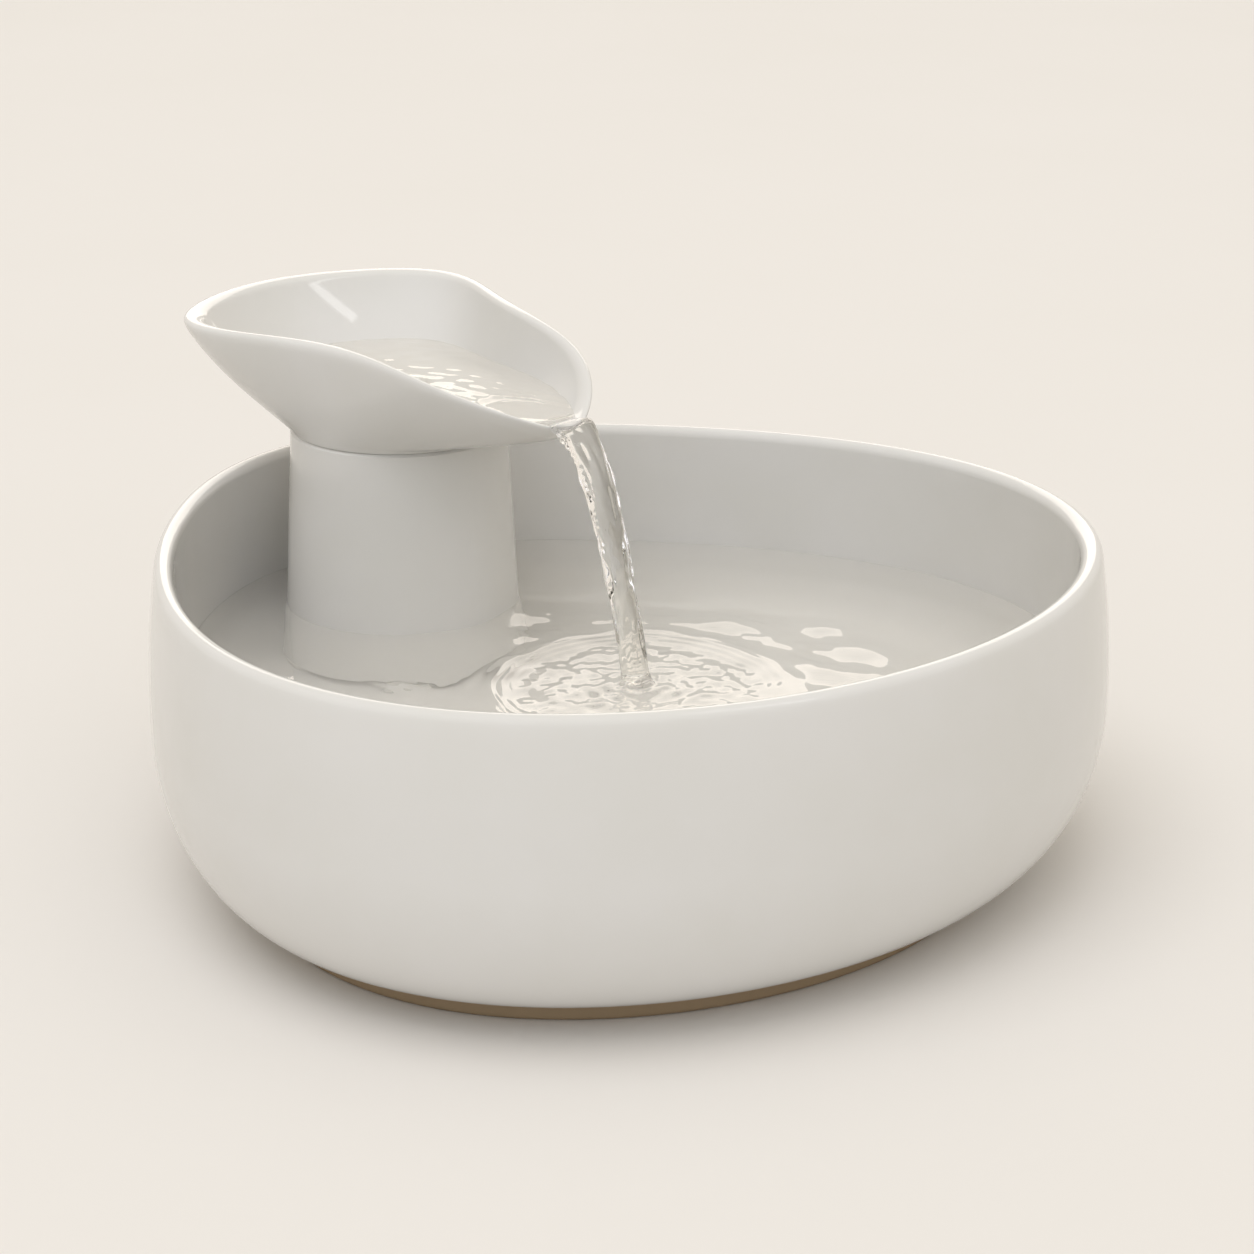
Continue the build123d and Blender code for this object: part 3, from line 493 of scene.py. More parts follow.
def rounded(corners: list[Pair], radii: tuple[float, ...], steps: int = ROUND_STEPS) -> Array:
    """Rounds the corners of an open profile.

    Each corner gives way to a quadratic curve that leaves its two sides as far from the corner as
    its radius says.

    Args:
        corners: Points of the profile.
        radii: Reach of the rounding at each point, 0 for none.
        steps: Points along each rounding.

    Returns:
        The rounded profile as an array of points.
    """
    points = np.array(corners, float)
    path = [points[:1]]
    share = np.linspace(0.0, 1.0, steps)[:, None]
    for k in range(1, len(points) - 1):
        here = points[k]
        if radii[k] <= 0.0:
            path.append(here[None])
            continue
        back = points[k - 1] - here
        ahead = points[k + 1] - here
        start = here + back * min(0.49, radii[k] / np.hypot(*back))
        end = here + ahead * min(0.49, radii[k] / np.hypot(*ahead))
        path.append(bend(start, here, end, share))
    path.append(points[-1:])
    return np.vstack(path)


def run_along(path: Array) -> Array:
    """Length of a path up to each of its points."""
    return np.concatenate(([0.0], np.cumsum(np.hypot(*np.diff(path, axis=0).T))))


def heading(path: Array) -> Array:
    """Unit vectors along a flat path, one at each of its points."""
    along = np.gradient(path, axis=0)
    return along / np.hypot(*along.T)[:, None]


def even(profile: Array, count: int) -> Array:
    """Spaces the points of a profile evenly along it.

    Args:
        profile: Points of the profile.
        count: How many points to give.

    Returns:
        The points.
    """
    run = run_along(profile)
    at = np.linspace(0.0, run[-1], count)
    return np.stack([np.interp(at, run, profile[:, k]) for k in range(profile.shape[1])], -1)


def swell_between(value: Array, low: float, high: float) -> Array:
    """Smooth step: 0 below low, 1 above high, with level ends."""
    share = np.clip((value - low) / (high - low), 0.0, 1.0)
    return share * share * (3.0 - 2.0 * share)


def squared(wave: Array, power: float) -> Array:
    """Fills out a wave between -1 and 1: the lower the power, the squarer it gets."""
    return np.sign(wave) * np.abs(wave) ** power


@dataclass(frozen=True)
class Bump:
    """Bell-shaped rise: its height, its middle, and how far from there it falls to 1/e."""

    height: float
    middle: float
    width: float

    def at(self, value: Array) -> Array:
        """Rise at each value."""
        return self.height * np.exp(-(((value - self.middle) / self.width) ** 2))


@dataclass(frozen=True)
class Fade:
    """Rise that dies away: its height at 0, and how far from there it falls to 1/e."""

    height: float
    reach: float

    def at(self, value: Array) -> Array:
        """Rise at each value from 0 up."""
        return self.height * np.exp(-value / self.reach)


@dataclass(frozen=True)
class Chop:
    """Random chop: plane waves in random directions, added up. Each wave's length lies between
    the shortest and the longest, and the height is the sum's root mean square."""

    height: float
    shortest: float
    longest: float
    seed: int
    waves: int = 24

    def at(self, x: Array, y: Array) -> Array:
        """Works out the chop.

        Args:
            x: X of the points, in millimetres.
            y: Y of the points.

        Returns:
            The height at each point.
        """
        draw = np.random.default_rng(self.seed)
        length = draw.uniform(self.shortest, self.longest, self.waves)
        way = draw.uniform(0.0, 2 * pi, self.waves)
        phase = draw.uniform(0.0, 2 * pi, self.waves)
        run = x[..., None] * np.cos(way) + y[..., None] * np.sin(way)
        total = np.sin(2 * pi * run / length + phase).sum(-1)
        return self.height * np.sqrt(2.0 / self.waves) * total


def node_box(name: str) -> tuple[Array, Array]:
    """Lowest and highest corner of a node, in millimetres."""
    low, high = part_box(name)
    return np.array(low) / MM, np.array(high) / MM


# ---------------------------------------------------------------- ceramic
@dataclass
class Bowl:
    """The egg-shaped bowl: belly, foot ring, wall and rounded rim in one closed surface."""

    egg: float = 0.22
    flat: float = 0.047
    wall: float = 6.0
    lean: float = 3.6
    girth: float = 58.0
    belly_inset: float = 34.0
    belly_top: float = 52.0
    corner_inset: float = 22.0
    corner_top: float = 40.0
    foot_height: float = 5.5
    foot_inset: float = 31.0
    foot_width: float = 8.0
    foot_overlap: float = 3.5
    foot_corner: float = 0.35
    foot_radii: tuple[float, ...] = (0.0, 1.5, 1.7, 1.7, 1.8, 0.0)
    floor: float = 12.0
    pole_gap: float = 2.0
    rim_spare: float = 0.22
    rim_ends: Pair = (0.12, 0.08)
    arc_steps: int = 26
    columns: int = 384

    def __post_init__(self) -> None:
        """Reads the bowl's place and size from its node."""
        low, high = node_box("bowl")
        self.middle = float(low[0] + high[0]) / 2
        self.half_length = float(high[0] - low[0]) / 2
        self.half_width = float(high[1] - low[1]) / 2
        self.height = float(high[2])
        self.turn = full_turn(self.columns)
        self.peak = float(self.egg_width(np.linspace(0.0, pi, 721)).max())

    def egg_width(self, turn: Array) -> Array:
        """Half width of the egg outline: sin t (1 + egg cos t - flat cos 2t)."""
        return np.sin(turn) * (1 + self.egg * np.cos(turn) - self.flat * np.cos(2 * turn))

    def outline(self, inset: Array, height: Array) -> Array:
        """Level rings of the egg outline.

        X is (half length - inset) cos t, and Y the egg's half width scaled to
        (half width - inset).

        Args:
            inset: How far each ring lies inside the widest outline.
            height: Height of each ring.

        Returns:
            The rings.
        """
        inset, height = np.broadcast_arrays(inset[:, None], height[:, None])
        x = self.middle + (self.half_length - inset) * np.cos(self.turn)
        y = (self.half_width - inset) / self.peak * self.egg_width(self.turn)
        return np.stack((x, y, height + 0.0 * x), -1)

    def outside(self) -> Array:
        """Profile of the outside as inset and height: underside, foot ring, belly and wall.

        The belly is a quarter ellipse from the foot to the belly's top, and the wall then leans
        in with the square of its height over the girth.

        Returns:
            The profile, from the middle of the underside up to the rim.
        """
        meet = np.arccos(1 - (self.foot_inset - self.foot_overlap) / self.belly_inset)
        angle = np.linspace(meet, 0.0, self.arc_steps)
        belly = np.stack((self.belly_inset * (1 - np.cos(angle)),
                          self.belly_top - (self.belly_top - self.foot_height) * np.sin(angle)), -1)
        inner = self.foot_inset + self.foot_width
        foot = rounded([
            (self.half_width - self.pole_gap, self.foot_height), (inner, self.foot_height),
            (inner, 0.0), (self.foot_inset, 0.0),
            (self.foot_inset, self.foot_height + self.foot_corner), tuple(belly[0])],
            self.foot_radii)
        recess = 1 + ROUND_STEPS
        height = np.linspace(self.belly_top + 2.0, self.height - self.rim_radius(), 18)
        rise = np.clip((height - self.girth) / (self.height - self.girth), 0.0, None)
        wall = np.stack((self.lean * rise**2, height), -1)
        return np.vstack((even(foot[:recess], 30), foot[recess:-1], belly, wall))

    def rim_radius(self) -> float:
        """Radius of the rim's half round, which just takes up the wall."""
        return self.wall / 2 + self.rim_spare

    def rim(self) -> Array:
        """Profile of the rim: a half circle from the outside of the wall to its inside.

        Returns:
            The profile, which stops short of the half circle's ends.
        """
        radius = self.rim_radius()
        angle = np.linspace(self.rim_ends[0], pi - self.rim_ends[1], 16)
        middle = self.lean + self.wall - radius
        return np.stack((middle - radius * np.cos(angle),
                         self.height - radius + radius * np.sin(angle)), -1)

    def inside(self, spare: float = 0.0, top: float | None = None) -> Array:
        """Profile of the inside as inset and height: wall, quarter-ellipse corner and floor.

        Args:
            spare: How far behind the face the profile runs, into the ceramic.
            top: Height that the profile starts at, by default just under the rim.

        Returns:
            The profile, from its top down to the middle of the floor.
        """
        start = self.height - self.rim_radius() if top is None else top
        height = np.linspace(start, self.corner_top, 14)[:-1]
        wall = np.stack((np.full_like(height, self.lean + self.wall), height), -1)
        angle = np.linspace(0.0, pi / 2, self.arc_steps)
        corner = np.stack((self.lean + self.wall + self.corner_inset * (1 - np.cos(angle)),
                           self.corner_top - (self.corner_top - self.floor) * np.sin(angle)), -1)
        across = np.linspace(corner[-1, 0] + 3.0, self.half_width - 1.0, self.arc_steps)
        floor = np.stack((across, np.full_like(across, self.floor)), -1)
        profile = np.vstack((wall, corner, floor))
        return profile - np.array([spare, spare])

    def shape(self) -> Object:
        """Builds the bowl.

        Returns:
            The bowl.
        """
        profile = np.vstack((self.outside(), self.rim(), self.inside()))
        rings = self.outline(profile[:, 0], profile[:, 1])
        return ring_surface("bowl_shell", rings, Ends.POLES)


@dataclass
class SpoutDish:
    """The freeform dish: a hood behind, a narrow falling lip in front, and the round spigot that
    plugs into the column."""

    front: float = 82.8
    back: float = 69.6
    half_width: float = 48.9
    hood: tuple[float, ...] = (-0.42, 0.046, 0.033, -0.10)
    drop: float = 20.0
    drop_start: float = 20.0
    bulge: float = 0.45
    lip_bulge: float = 0.2
    wall: float = 4.5
    floor: float = 3.4
    thinning: float = 0.3
    rim_reach: float = 3.9
    spigot: float = 27.3
    spigot_wall: float = 4.3
    spigot_depth: float = 12.0
    spigot_edge: float = 0.4
    key_reach: float = 2.9
    key_height: float = 5.0
    key_half_angle: float = 14.0
    key_edge: float = 0.3
    column_taper: float = 5.1
    heel: float = 0.55
    heel_edge: float = 0.15
    hole: float = 8.0
    crest: float = 0.55
    floor_edge: float = 8.0
    floor_rings: tuple[float, ...] = (18.0, 12.0, 8.4)
    columns: int = 360

    def __post_init__(self) -> None:
        """Reads the dish's place from its node and the column's."""
        low, high = node_box("column")
        self.axis = float(node_box("dish_seal")[0][0] + node_box("dish_seal")[1][0]) / 2
        dish_low, dish_high = node_box("spout_dish")
        self.seat = float(dish_low[2]) + self.spigot_depth
        self.top = float(dish_high[2])
        self.column_foot, self.column_top = float(low[2]), float(high[2])
        self.base_radius = float(high[1] - low[1]) / 2
        self.seat_radius = self.base_radius - self.column_taper
        self.turn = full_turn(self.columns)
        t = self.turn
        widen = 1 + sum(k_share * np.cos((k + 1) * t) for k, k_share in enumerate(self.hood))
        half = (self.front + self.back) / 2
        self.rim_x = (self.front - self.back) / 2 + half * np.cos(t)
        self.rim_y = self.half_width * np.sin(t) * widen
        self.lip_share = ((1 + np.cos(t)) / 2) ** 3
        self.thin = 1 - self.thinning * self.lip_share
        fall = np.clip((self.rim_x + self.drop_start) / (self.front + self.drop_start), 0.0, None)
        self.rise = self.top - self.drop * fall**3 - self.seat

    def flank(self, share: Array, lift: float = 0.0, inward: float = 0.0) -> Array:
        """Rings of the flank, which swells from the round seat to the rim.

        A point goes from the seat to the rim by s (1 + b (1 - s)), with s its share of the height
        and b the bulge. The inside face is the outside one lifted and moved inwards, both less
        towards the lip.

        Args:
            share: Share of the height of each ring, or of each point of each ring.
            lift: How far the face is lifted, in millimetres.
            inward: How far it is moved inwards.

        Returns:
            The rings.
        """
        share = share[:, None] if share.ndim == 1 else share
        bulge = self.bulge + self.lip_bulge * self.lip_share
        swell = share * (1 + bulge * (1 - share))
        seat_x = self.seat_radius * np.cos(self.turn)
        seat_y = self.seat_radius * np.sin(self.turn)
        x = seat_x + (self.rim_x - seat_x) * swell
        y = seat_y + (self.rim_y - seat_y) * swell
        keep = 1 - inward * self.thin / np.hypot(x, y)
        z = self.seat + share * self.rise + lift * self.thin
        return np.stack((self.axis + x * keep, y * keep, z), -1)

    def radius_at(self, height: float) -> float:
        """Radius of the column's outside at a height, as it narrows evenly to the seat."""
        share = (height - self.column_foot) / (self.column_top - self.column_foot)
        return self.base_radius + (self.seat_radius - self.base_radius) * share

    def inside_share(self, height: float) -> Array:
        """Share of the flank's height at which its inside face reaches a level."""
        return (height - self.seat - self.floor * self.thin) / self.rise

    def circle(self, radius: Array | float, height: float) -> Array:
        """Level ring of a radius, which may differ from point to point."""
        radius = radius + 0.0 * self.turn
        return np.stack((self.axis + radius * np.cos(self.turn), radius * np.sin(self.turn),
                         height + 0.0 * self.turn), -1)

    def underside(self) -> list[Array]:
        """Draws the underside: the hole, the spigot with its aiming key, and the seat, whose thin
        heel hides the seal.

        Returns:
            The rings, from the hole outwards.
        """
        floor = self.seat + self.floor
        low = self.seat - self.spigot_depth
        inner = self.spigot - self.spigot_wall
        edge, fine = self.spigot_edge, self.key_edge
        key = self.spigot + self.key_reach * (
            np.abs(self.turn - pi) <= radians(self.key_half_angle))
        key_top = low + self.key_height
        under = self.seat - self.heel
        rows = [(self.hole, floor - edge), (self.hole, self.seat + fine),
                (self.hole + fine, self.seat), (inner - 1.0, self.seat),
                (inner, self.seat - 1.0), (inner, low + edge), (inner + edge, low),
                (key - edge, low), (key, low + edge), (key, key_top - fine),
                (key - fine, key_top), (self.spigot, key_top),
                (self.spigot, self.seat - 0.6), (self.spigot + 0.6, self.seat),
                (self.seat_radius - 1.1, self.seat), (self.seat_radius - 1.0, under),
                (self.seat_radius - self.heel_edge, under),
                (self.seat_radius, under + self.heel_edge)]
        return [self.circle(radius, height) for radius, height in rows]

    def bowl_rings(self) -> list[Array]:
        """Draws the outer flank, the rounded rim, the inner flank and the floor.

        Returns:
            The rings, from the seat over the rim and in to the hole.
        """
        under = 1 - self.rim_reach / self.rise
        outer = self.flank(np.linspace(0.02, 1.0, 34)[:, None] * under)
        corner_out = self.flank(np.ones((1, self.columns)))[0]
        top_in = 1 - self.floor * self.thin / self.rise
        corner_in = self.flank(top_in[None], self.floor, self.wall)[0]
        low_in = top_in - 0.5 * self.rim_reach / self.rise
        finish = self.flank(low_in[None], self.floor, self.wall)[0]
        crest = (1 - self.crest) * corner_out + self.crest * corner_in
        steps = np.linspace(0.0, 1.0, 9)[:, None, None]
        rise = bend(outer[-1], corner_out, crest, steps)[1:]
        fall = bend(crest, corner_in, finish, steps)[1:]
        floor = self.seat + self.floor
        foot = self.inside_share(floor)
        lowest = foot + 0.16 * (low_in - foot)
        path = np.linspace(0.0, 1.0, 34)[1:, None]
        inner = self.flank(low_in + (lowest - low_in) * path, self.floor, self.wall)
        heel = self.flank(foot[None], self.floor, self.wall)[0]
        flat = self.circle(self.seat_radius - self.wall - self.floor_edge, floor)
        turn_in = bend(inner[-1], heel, flat, steps)[1:]
        middle = [self.circle(radius, floor) for radius in self.floor_rings]
        return [*outer, *rise, *fall, *inner, *turn_in, *middle]

    def shape(self) -> Object:
        """Builds the dish."""
        rings = np.array([*self.underside(), *self.bowl_rings()])
        return ring_surface("spout_dish_shell", rings, Ends.LOOP)


# ---------------------------------------------------------------- water
@dataclass(frozen=True)
class PoolWaves:
    """What the fall makes in the pool. Round the stream's foot lies a ragged disc of rings and
    chop, which ends in a rippled ridge with a trough inside it. Outside it, swells with a little
    fine chop die away. The mound and the rings' core count from the foot, and the other bumps
    and spans outwards from the disc's edge."""

    disc: float = 46.0
    lobes: tuple[tuple[float, int, float], ...] = ((1.5, 3, 0.6), (0.9, 5, 2.0))
    ragged: Chop = Chop(0.7, 12.0, 26.0, 3, 12)
    rings_end: Pair = (-13.0, -6.0)
    ring_length: float = 3.4
    ring_growth: float = 0.16
    ring_height: float = 0.07
    ring_core: Fade = Fade(0.14, 12.0)
    ring_wobble: float = 0.8
    fine: Chop = Chop(0.075, 3.8, 8.5, 7)
    coarse: Chop = Chop(0.17, 9.0, 18.0, 19)
    mound: Bump = Bump(1.9, 0.0, 8.0)
    ridge: Bump = Bump(0.62, 0.0, 4.4)
    trough: Bump = Bump(-0.55, -11.0, 4.0)
    ripples: Bump = Bump(0.085, -4.0, 5.0)
    ripple_length: float = 3.1
    ripple_wobble: float = 0.4
    swells: Chop = Chop(0.32, 19.0, 38.0, 11)
    shimmer: Chop = Chop(0.035, 5.0, 9.0, 29)
    swells_start: Pair = (2.0, 12.0)
    swells_end: Pair = (24.0, 50.0)
    calm: Chop = Chop(0.035, 30.0, 70.0, 13)

    def height(self, x: Array, y: Array, foot: Pair) -> Array:
        """Works out the waves.

        Args:
            x: X of the points, in millimetres.
            y: Y of the points.
            foot: X and Y of the stream's foot.

        Returns:
            The height over the still pool at each point.
        """
        off = np.hypot(x - foot[0], y - foot[1])
        angle = np.arctan2(y - foot[1], x - foot[0])
        wobble = sum(reach * np.sin(count * angle + turn) for reach, count, turn in self.lobes)
        wobble += self.ragged.at(x, y)
        edge = off - self.disc - wobble
        within = 1 - swell_between(edge, *self.rings_end)
        away = swell_between(edge, *self.swells_start) * (1 - swell_between(edge, *self.swells_end))
        length = self.ring_length + self.ring_growth * off
        phase = 2 * pi / self.ring_growth * np.log(length / self.ring_length)
        rings = (self.ring_height + self.ring_core.at(off)) * np.sin(
            phase + self.ring_wobble * wobble)
        ripple = 2 * pi * (edge + self.ripple_wobble * wobble) / self.ripple_length
        front = self.ridge.at(edge) + self.trough.at(edge) + self.ripples.at(edge) * np.sin(ripple)
        disc = within * (rings + self.fine.at(x, y) + self.coarse.at(x, y))
        beyond = away * (self.swells.at(x, y) + self.shimmer.at(x, y))
        return disc + front + beyond + self.calm.at(x, y) + self.mound.at(off)


@dataclass(frozen=True)
class DishWaves:
    """Stirred water in the dish, which draws out into streaks towards the lip. A bow-shaped ridge
    stands where they end, and from there smooth water heaps up to go over the lip. The ridge, the
    trough and the streaks' end count forwards from the bow."""

    draw_out: Pair = (0.0, 60.0)
    bow: float = 41.0
    bow_bend: float = 26.0
    bow_half_width: float = 13.6
    ridge: Bump = Bump(0.5, 0.0, 1.7)
    trough: Bump = Bump(-0.4, 4.0, 2.6)
    streaks: Chop = Chop(0.08, 2.6, 7.0, 21)
    streak_squeeze: float = 0.28
    streaks_end: Pair = (-2.0, 1.5)
    stir: Chop = Chop(0.045, 5.0, 14.0, 23)
    stir_left: float = 0.15
    heap: float = 1.35
    heap_start: Pair = (60.0, 80.0)
    heap_half_width: float = 7.5

    def height(self, x: Array, y: Array, lip_y: float) -> Array:
        """Works out the waves.

        Args:
            x: Distance ahead of the column's axis, in millimetres.
            y: Distance to the side.
            lip_y: Where the stream leaves the lip, to the side.

        Returns:
            The height over the still water at each point.
        """
        run = swell_between(x, *self.draw_out)
        bow = x - self.bow - self.bow_bend * (np.abs(y) / self.bow_half_width) ** 3
        before = 1 - swell_between(bow, *self.streaks_end)
        streaks = before * self.streaks.at(x * self.streak_squeeze, y)
        stir = (before + self.stir_left) * self.stir.at(x, y)
        heap = self.heap * np.exp(-(((y - lip_y) / self.heap_half_width) ** 4))
        heap *= swell_between(x, *self.heap_start)
        return run * (streaks + self.ridge.at(bow) + self.trough.at(bow)) + stir + heap


@dataclass(frozen=True)
class Jet:
    """Section of the stream down its run: broad and flat over the lip, then drawn in to a round
    jet with folds that twist down it, nicks along one edge, and a flare at its foot."""

    half_width: float = 3.7
    spread: tuple[Fade, ...] = (Fade(2.9, 32.0), Fade(1.5, 5.0))
    half_depth: float = 3.8
    flat: Fade = Fade(-2.0, 15.0)
    face_power: float = 0.8
    flare: float = 0.3
    flare_reach: float = 3.0
    folds: int = 60
    fold_lobes: tuple[int, int] = (2, 14)
    fold_length: Pair = (6.0, 50.0)
    fold_height: float = 0.068
    fold_usual: float = 20.0
    fold_seed: int = 5
    folds_start: Pair = (0.0, 6.0)
    nick: Bump = Bump(0.075, pi, 0.32)
    nick_length: float = 2.1
    nick_drift: float = 2.0
    drift_length: float = 5.0
    nicks_start: Pair = (1.0, 5.0)
    settling: float = 22.0
    root: float = 0.12

    def wrinkles(self, run: Array, angle: Array) -> Array:
        """Works out the long folds that twist down the stream.

        Args:
            run: Length along the stream of each ring, in millimetres.
            angle: Angle of each point round the stream.

        Returns:
            The share by which the skin rises and falls, as rings by points.
        """
        draw = np.random.default_rng(self.fold_seed)
        folds = np.zeros((len(run), len(angle)))
        for _ in range(self.folds):
            lobes = draw.integers(*self.fold_lobes)
            length = draw.uniform(*self.fold_length)
            phase = draw.uniform(0.0, 2 * pi)
            twist = draw.choice([-1, 1])
            folds += self.fold_height / lobes * np.sqrt(length / self.fold_usual) * np.sin(
                lobes * angle[None] + twist * 2 * pi * run[:, None] / length + phase)
        return folds

    def section(self, run: Array, run_in: float, angle: Array) -> tuple[Array, Array]:
        """Works out the section.

        Args:
            run: Length along the stream of each ring, in millimetres.
            run_in: Length up to the lip.
            angle: Angle of each point round the stream.

        Returns:
            How far each point lies to the side and to the front, as rings by points.
        """
        fallen = np.clip(run - run_in, 0.0, None)
        lasting = np.exp(-fallen / self.settling)[:, None]
        folds = self.wrinkles(run, angle) * swell_between(fallen, *self.folds_start)[:, None]
        folds *= (1 + lasting) / 2
        nicks = self.nick.at(angle) * swell_between(fallen, *self.nicks_start)[:, None] * lasting
        drift = self.nick_drift * np.sin(run / self.drift_length)
        folds += nicks * np.sin(2 * pi * run / self.nick_length + drift)[:, None]
        flare = 1 + self.flare * np.exp(-(((run[-1] - run) / self.flare_reach) ** 1.5))
        grow = (1 + folds) * (flare * np.sqrt(np.clip(run / run_in, self.root, 1.0)))[:, None]
        wide = self.half_width + sum(fade.at(fallen) for fade in self.spread)
        deep = self.half_depth + self.flat.at(fallen)
        face = squared(np.sin(angle), self.face_power)
        return wide[:, None] * grow * np.cos(angle), deep[:, None] * grow * face


@dataclass
class Water:
    """The pool in the bowl, the water in the dish and the stream that joins them."""

    bowl: Bowl
    dish: SpoutDish
    waves: PoolWaves = PoolWaves()
    stir: DishWaves = DishWaves()
    jet: Jet = Jet()
    level: float = 59.8
    dish_level: float = 134.2
    reach: float = 110.6
    aside: float = -2.0
    sink: float = 1.5
    lip_x: float = 81.0
    lip_z: float = 133.9
    run_in: float = 8.0
    run_in_depth: float = 1.5
    lip_sway: Bump = Bump(-0.7, 0.0, 9.0)
    fall_power: float = 1.57
    tuck_in: float = 0.25
    climb: Fade = Fade(0.35, 1.3)
    shore: tuple[float, ...] = (0.5, 1.1, 1.9, 3.0, 4.6, 6.6)
    shore_reach: float = 140.0
    crowding: float = 1.25
    dish_middle: float = 6.0
    dish_shore: tuple[float, ...] = (0.994, 0.985, 0.972)
    dish_floor: Pair = (2.0, 14.0)
    inner_span: Pair = (0.955, 0.03)

    def foot(self) -> Pair:
        """Where the stream meets the pool."""
        return self.dish.axis + self.reach, self.aside

    def pool(self) -> Object:
        """Builds the pool: down the inside of the bowl, and a top that is finest at the stream's
        foot and climbs the column and the bowl a little.

        Returns:
            The pool.
        """
        side = self.bowl.inside(self.tuck_in, self.level)[::-1]
        walls = self.bowl.outline(side[:, 0], side[:, 1])
        edge = walls[-1]
        foot = np.array([*self.foot(), 0.0])
        share = np.concatenate((1 - np.array(self.shore) / self.shore_reach,
                                np.linspace(*self.inner_span, 165) ** self.crowding))
        top = foot + share[:, None, None] * (edge - foot)
        x, y = top[..., 0], top[..., 1]
        column = np.hypot(x - self.dish.axis, y) - self.dish.radius_at(self.level)
        gap = (1 - share)[:, None] * np.hypot(*(edge - foot)[:, :2].T)
        top[..., 2] = (self.level + self.waves.height(x, y, self.foot())
                       + self.climb.at(np.clip(column, 0.0, None)) + self.climb.at(gap))
        walls[-1, :, 2] += self.climb.height
        return ring_surface("pool", np.vstack((walls, top)), Ends.POLES)

    def dish_water(self) -> Object:
        """Builds the water in the dish: up the inside of its flank, and its moving top.

        Returns:
            The water in the dish.
        """
        dish = self.dish
        floor = dish.seat + dish.floor
        foot = dish.inside_share(floor)
        brim = np.minimum(dish.inside_share(self.dish_level), 1 - 0.1 / dish.rise)
        path = np.linspace(0.0, 1.0, 16)[:, None]
        flank = dish.flank(foot + (brim - foot) * path, dish.floor, dish.wall - self.tuck_in)
        bottom = np.array([dish.circle(radius, floor - self.tuck_in) for radius in (
            *self.dish_floor, dish.seat_radius - dish.wall - 1.0)])
        edge = flank[-1]
        share = np.concatenate((self.dish_shore, np.linspace(*self.inner_span, 130)))
        middle = np.array([dish.axis + self.dish_middle, 0.0, 0.0])
        top = middle + share[:, None, None] * (edge - middle)
        top[..., 2] = self.dish_level + self.stir.height(
            top[..., 0] - dish.axis, top[..., 1], self.lip_sway.height)
        flank[-1, :, 2] = np.minimum(flank[-1, :, 2] + 0.3, self.dish_level)
        return ring_surface("dish_water", np.vstack((bottom, flank, top)), Ends.POLES)

    def stream_path(self, count: int) -> Array:
        """Middle line of the stream: it rises over the lip, and then falls in a curve.

        Args:
            count: How many points to give.

        Returns:
            Points as distance ahead of the column's axis, and height.
        """
        ahead = np.linspace(0.0, self.reach - self.lip_x, 240)
        drop = (self.lip_z - self.level + self.sink) / ahead[-1] ** self.fall_power
        fall = np.stack((self.lip_x + ahead, self.lip_z - drop * ahead**self.fall_power), -1)
        share = np.linspace(1.0, 0.0, 30, endpoint=False)
        over = np.stack((self.lip_x - self.run_in * share,
                         self.lip_z - self.run_in_depth * share**2), -1)
        return even(np.vstack((over, fall)), count)

    def stream(self) -> Object:
        """Builds the stream round its middle line, which sways a little to the side.

        Returns:
            The stream.
        """
        path = self.stream_path(300)
        along = heading(path)
        run = run_along(path)
        side, face = self.jet.section(run, self.run_in, full_turn(120))
        sway = self.aside * (run / run[-1]) ** 2 + self.lip_sway.at(run - self.run_in)
        rings = np.stack((self.dish.axis + path[:, :1] + along[:, 1:] * face,
                          sway[:, None] + side, path[:, 1:] - along[:, :1] * face), -1)
        return ring_surface("stream", rings[::-1], Ends.POLES)


# ---------------------------------------------------------------- pump foam
@dataclass
class Foam:
    """The foam sleeve round the strainer: one strip, bent round its front."""

    side: float = 3.0
    face: float = 5.0
    corner: float = 5.0
    steps: int = 72
    pores: Chop = Chop(0.14, 2.0, 5.0, 31)
    pore_turn: float = 9.0
    side_power: float = 0.35
    edge_power: float = 0.12
    spare: float = 0.1

    def shape(self) -> Object:
        """Builds the sleeve: a round-edged strip section carried along a U-shaped line.

        Returns:
            The sleeve.
        """
        low, high = node_box("foam_prefilter")
        front = high[0] - self.face / 2
        left, right = low[1] + self.side / 2, high[1] - self.side / 2
        line = even(rounded([(low[0], left), (front, left), (front, right), (low[0], right)],
                            (0.0, self.corner, self.corner, 0.0), 14), 150)
        along = heading(line)
        across = np.stack((along[:, 1], -along[:, 0]), -1)
        half = (self.side + (self.face - self.side) * np.abs(across[:, 0])) / 2
        angle = full_turn(self.steps)
        box = squared(np.cos(angle), self.side_power)
        rise = squared(np.sin(angle), self.edge_power)
        pores = self.pores.at(line[:, :1] + 0 * angle, line[:, 1:] + self.pore_turn * rise)
        out = half[:, None] * box * 0.96 + pores * np.abs(box)
        z = (low[2] + high[2]) / 2 + ((high[2] - low[2]) / 2 - self.spare) * rise + 0.0 * out
        rings = np.stack((line[:, :1] + across[:, :1] * out, line[:, 1:] + across[:, 1:] * out, z),
                         -1)
        return ring_surface("foam_sleeve", rings[::-1], Ends.POLES)


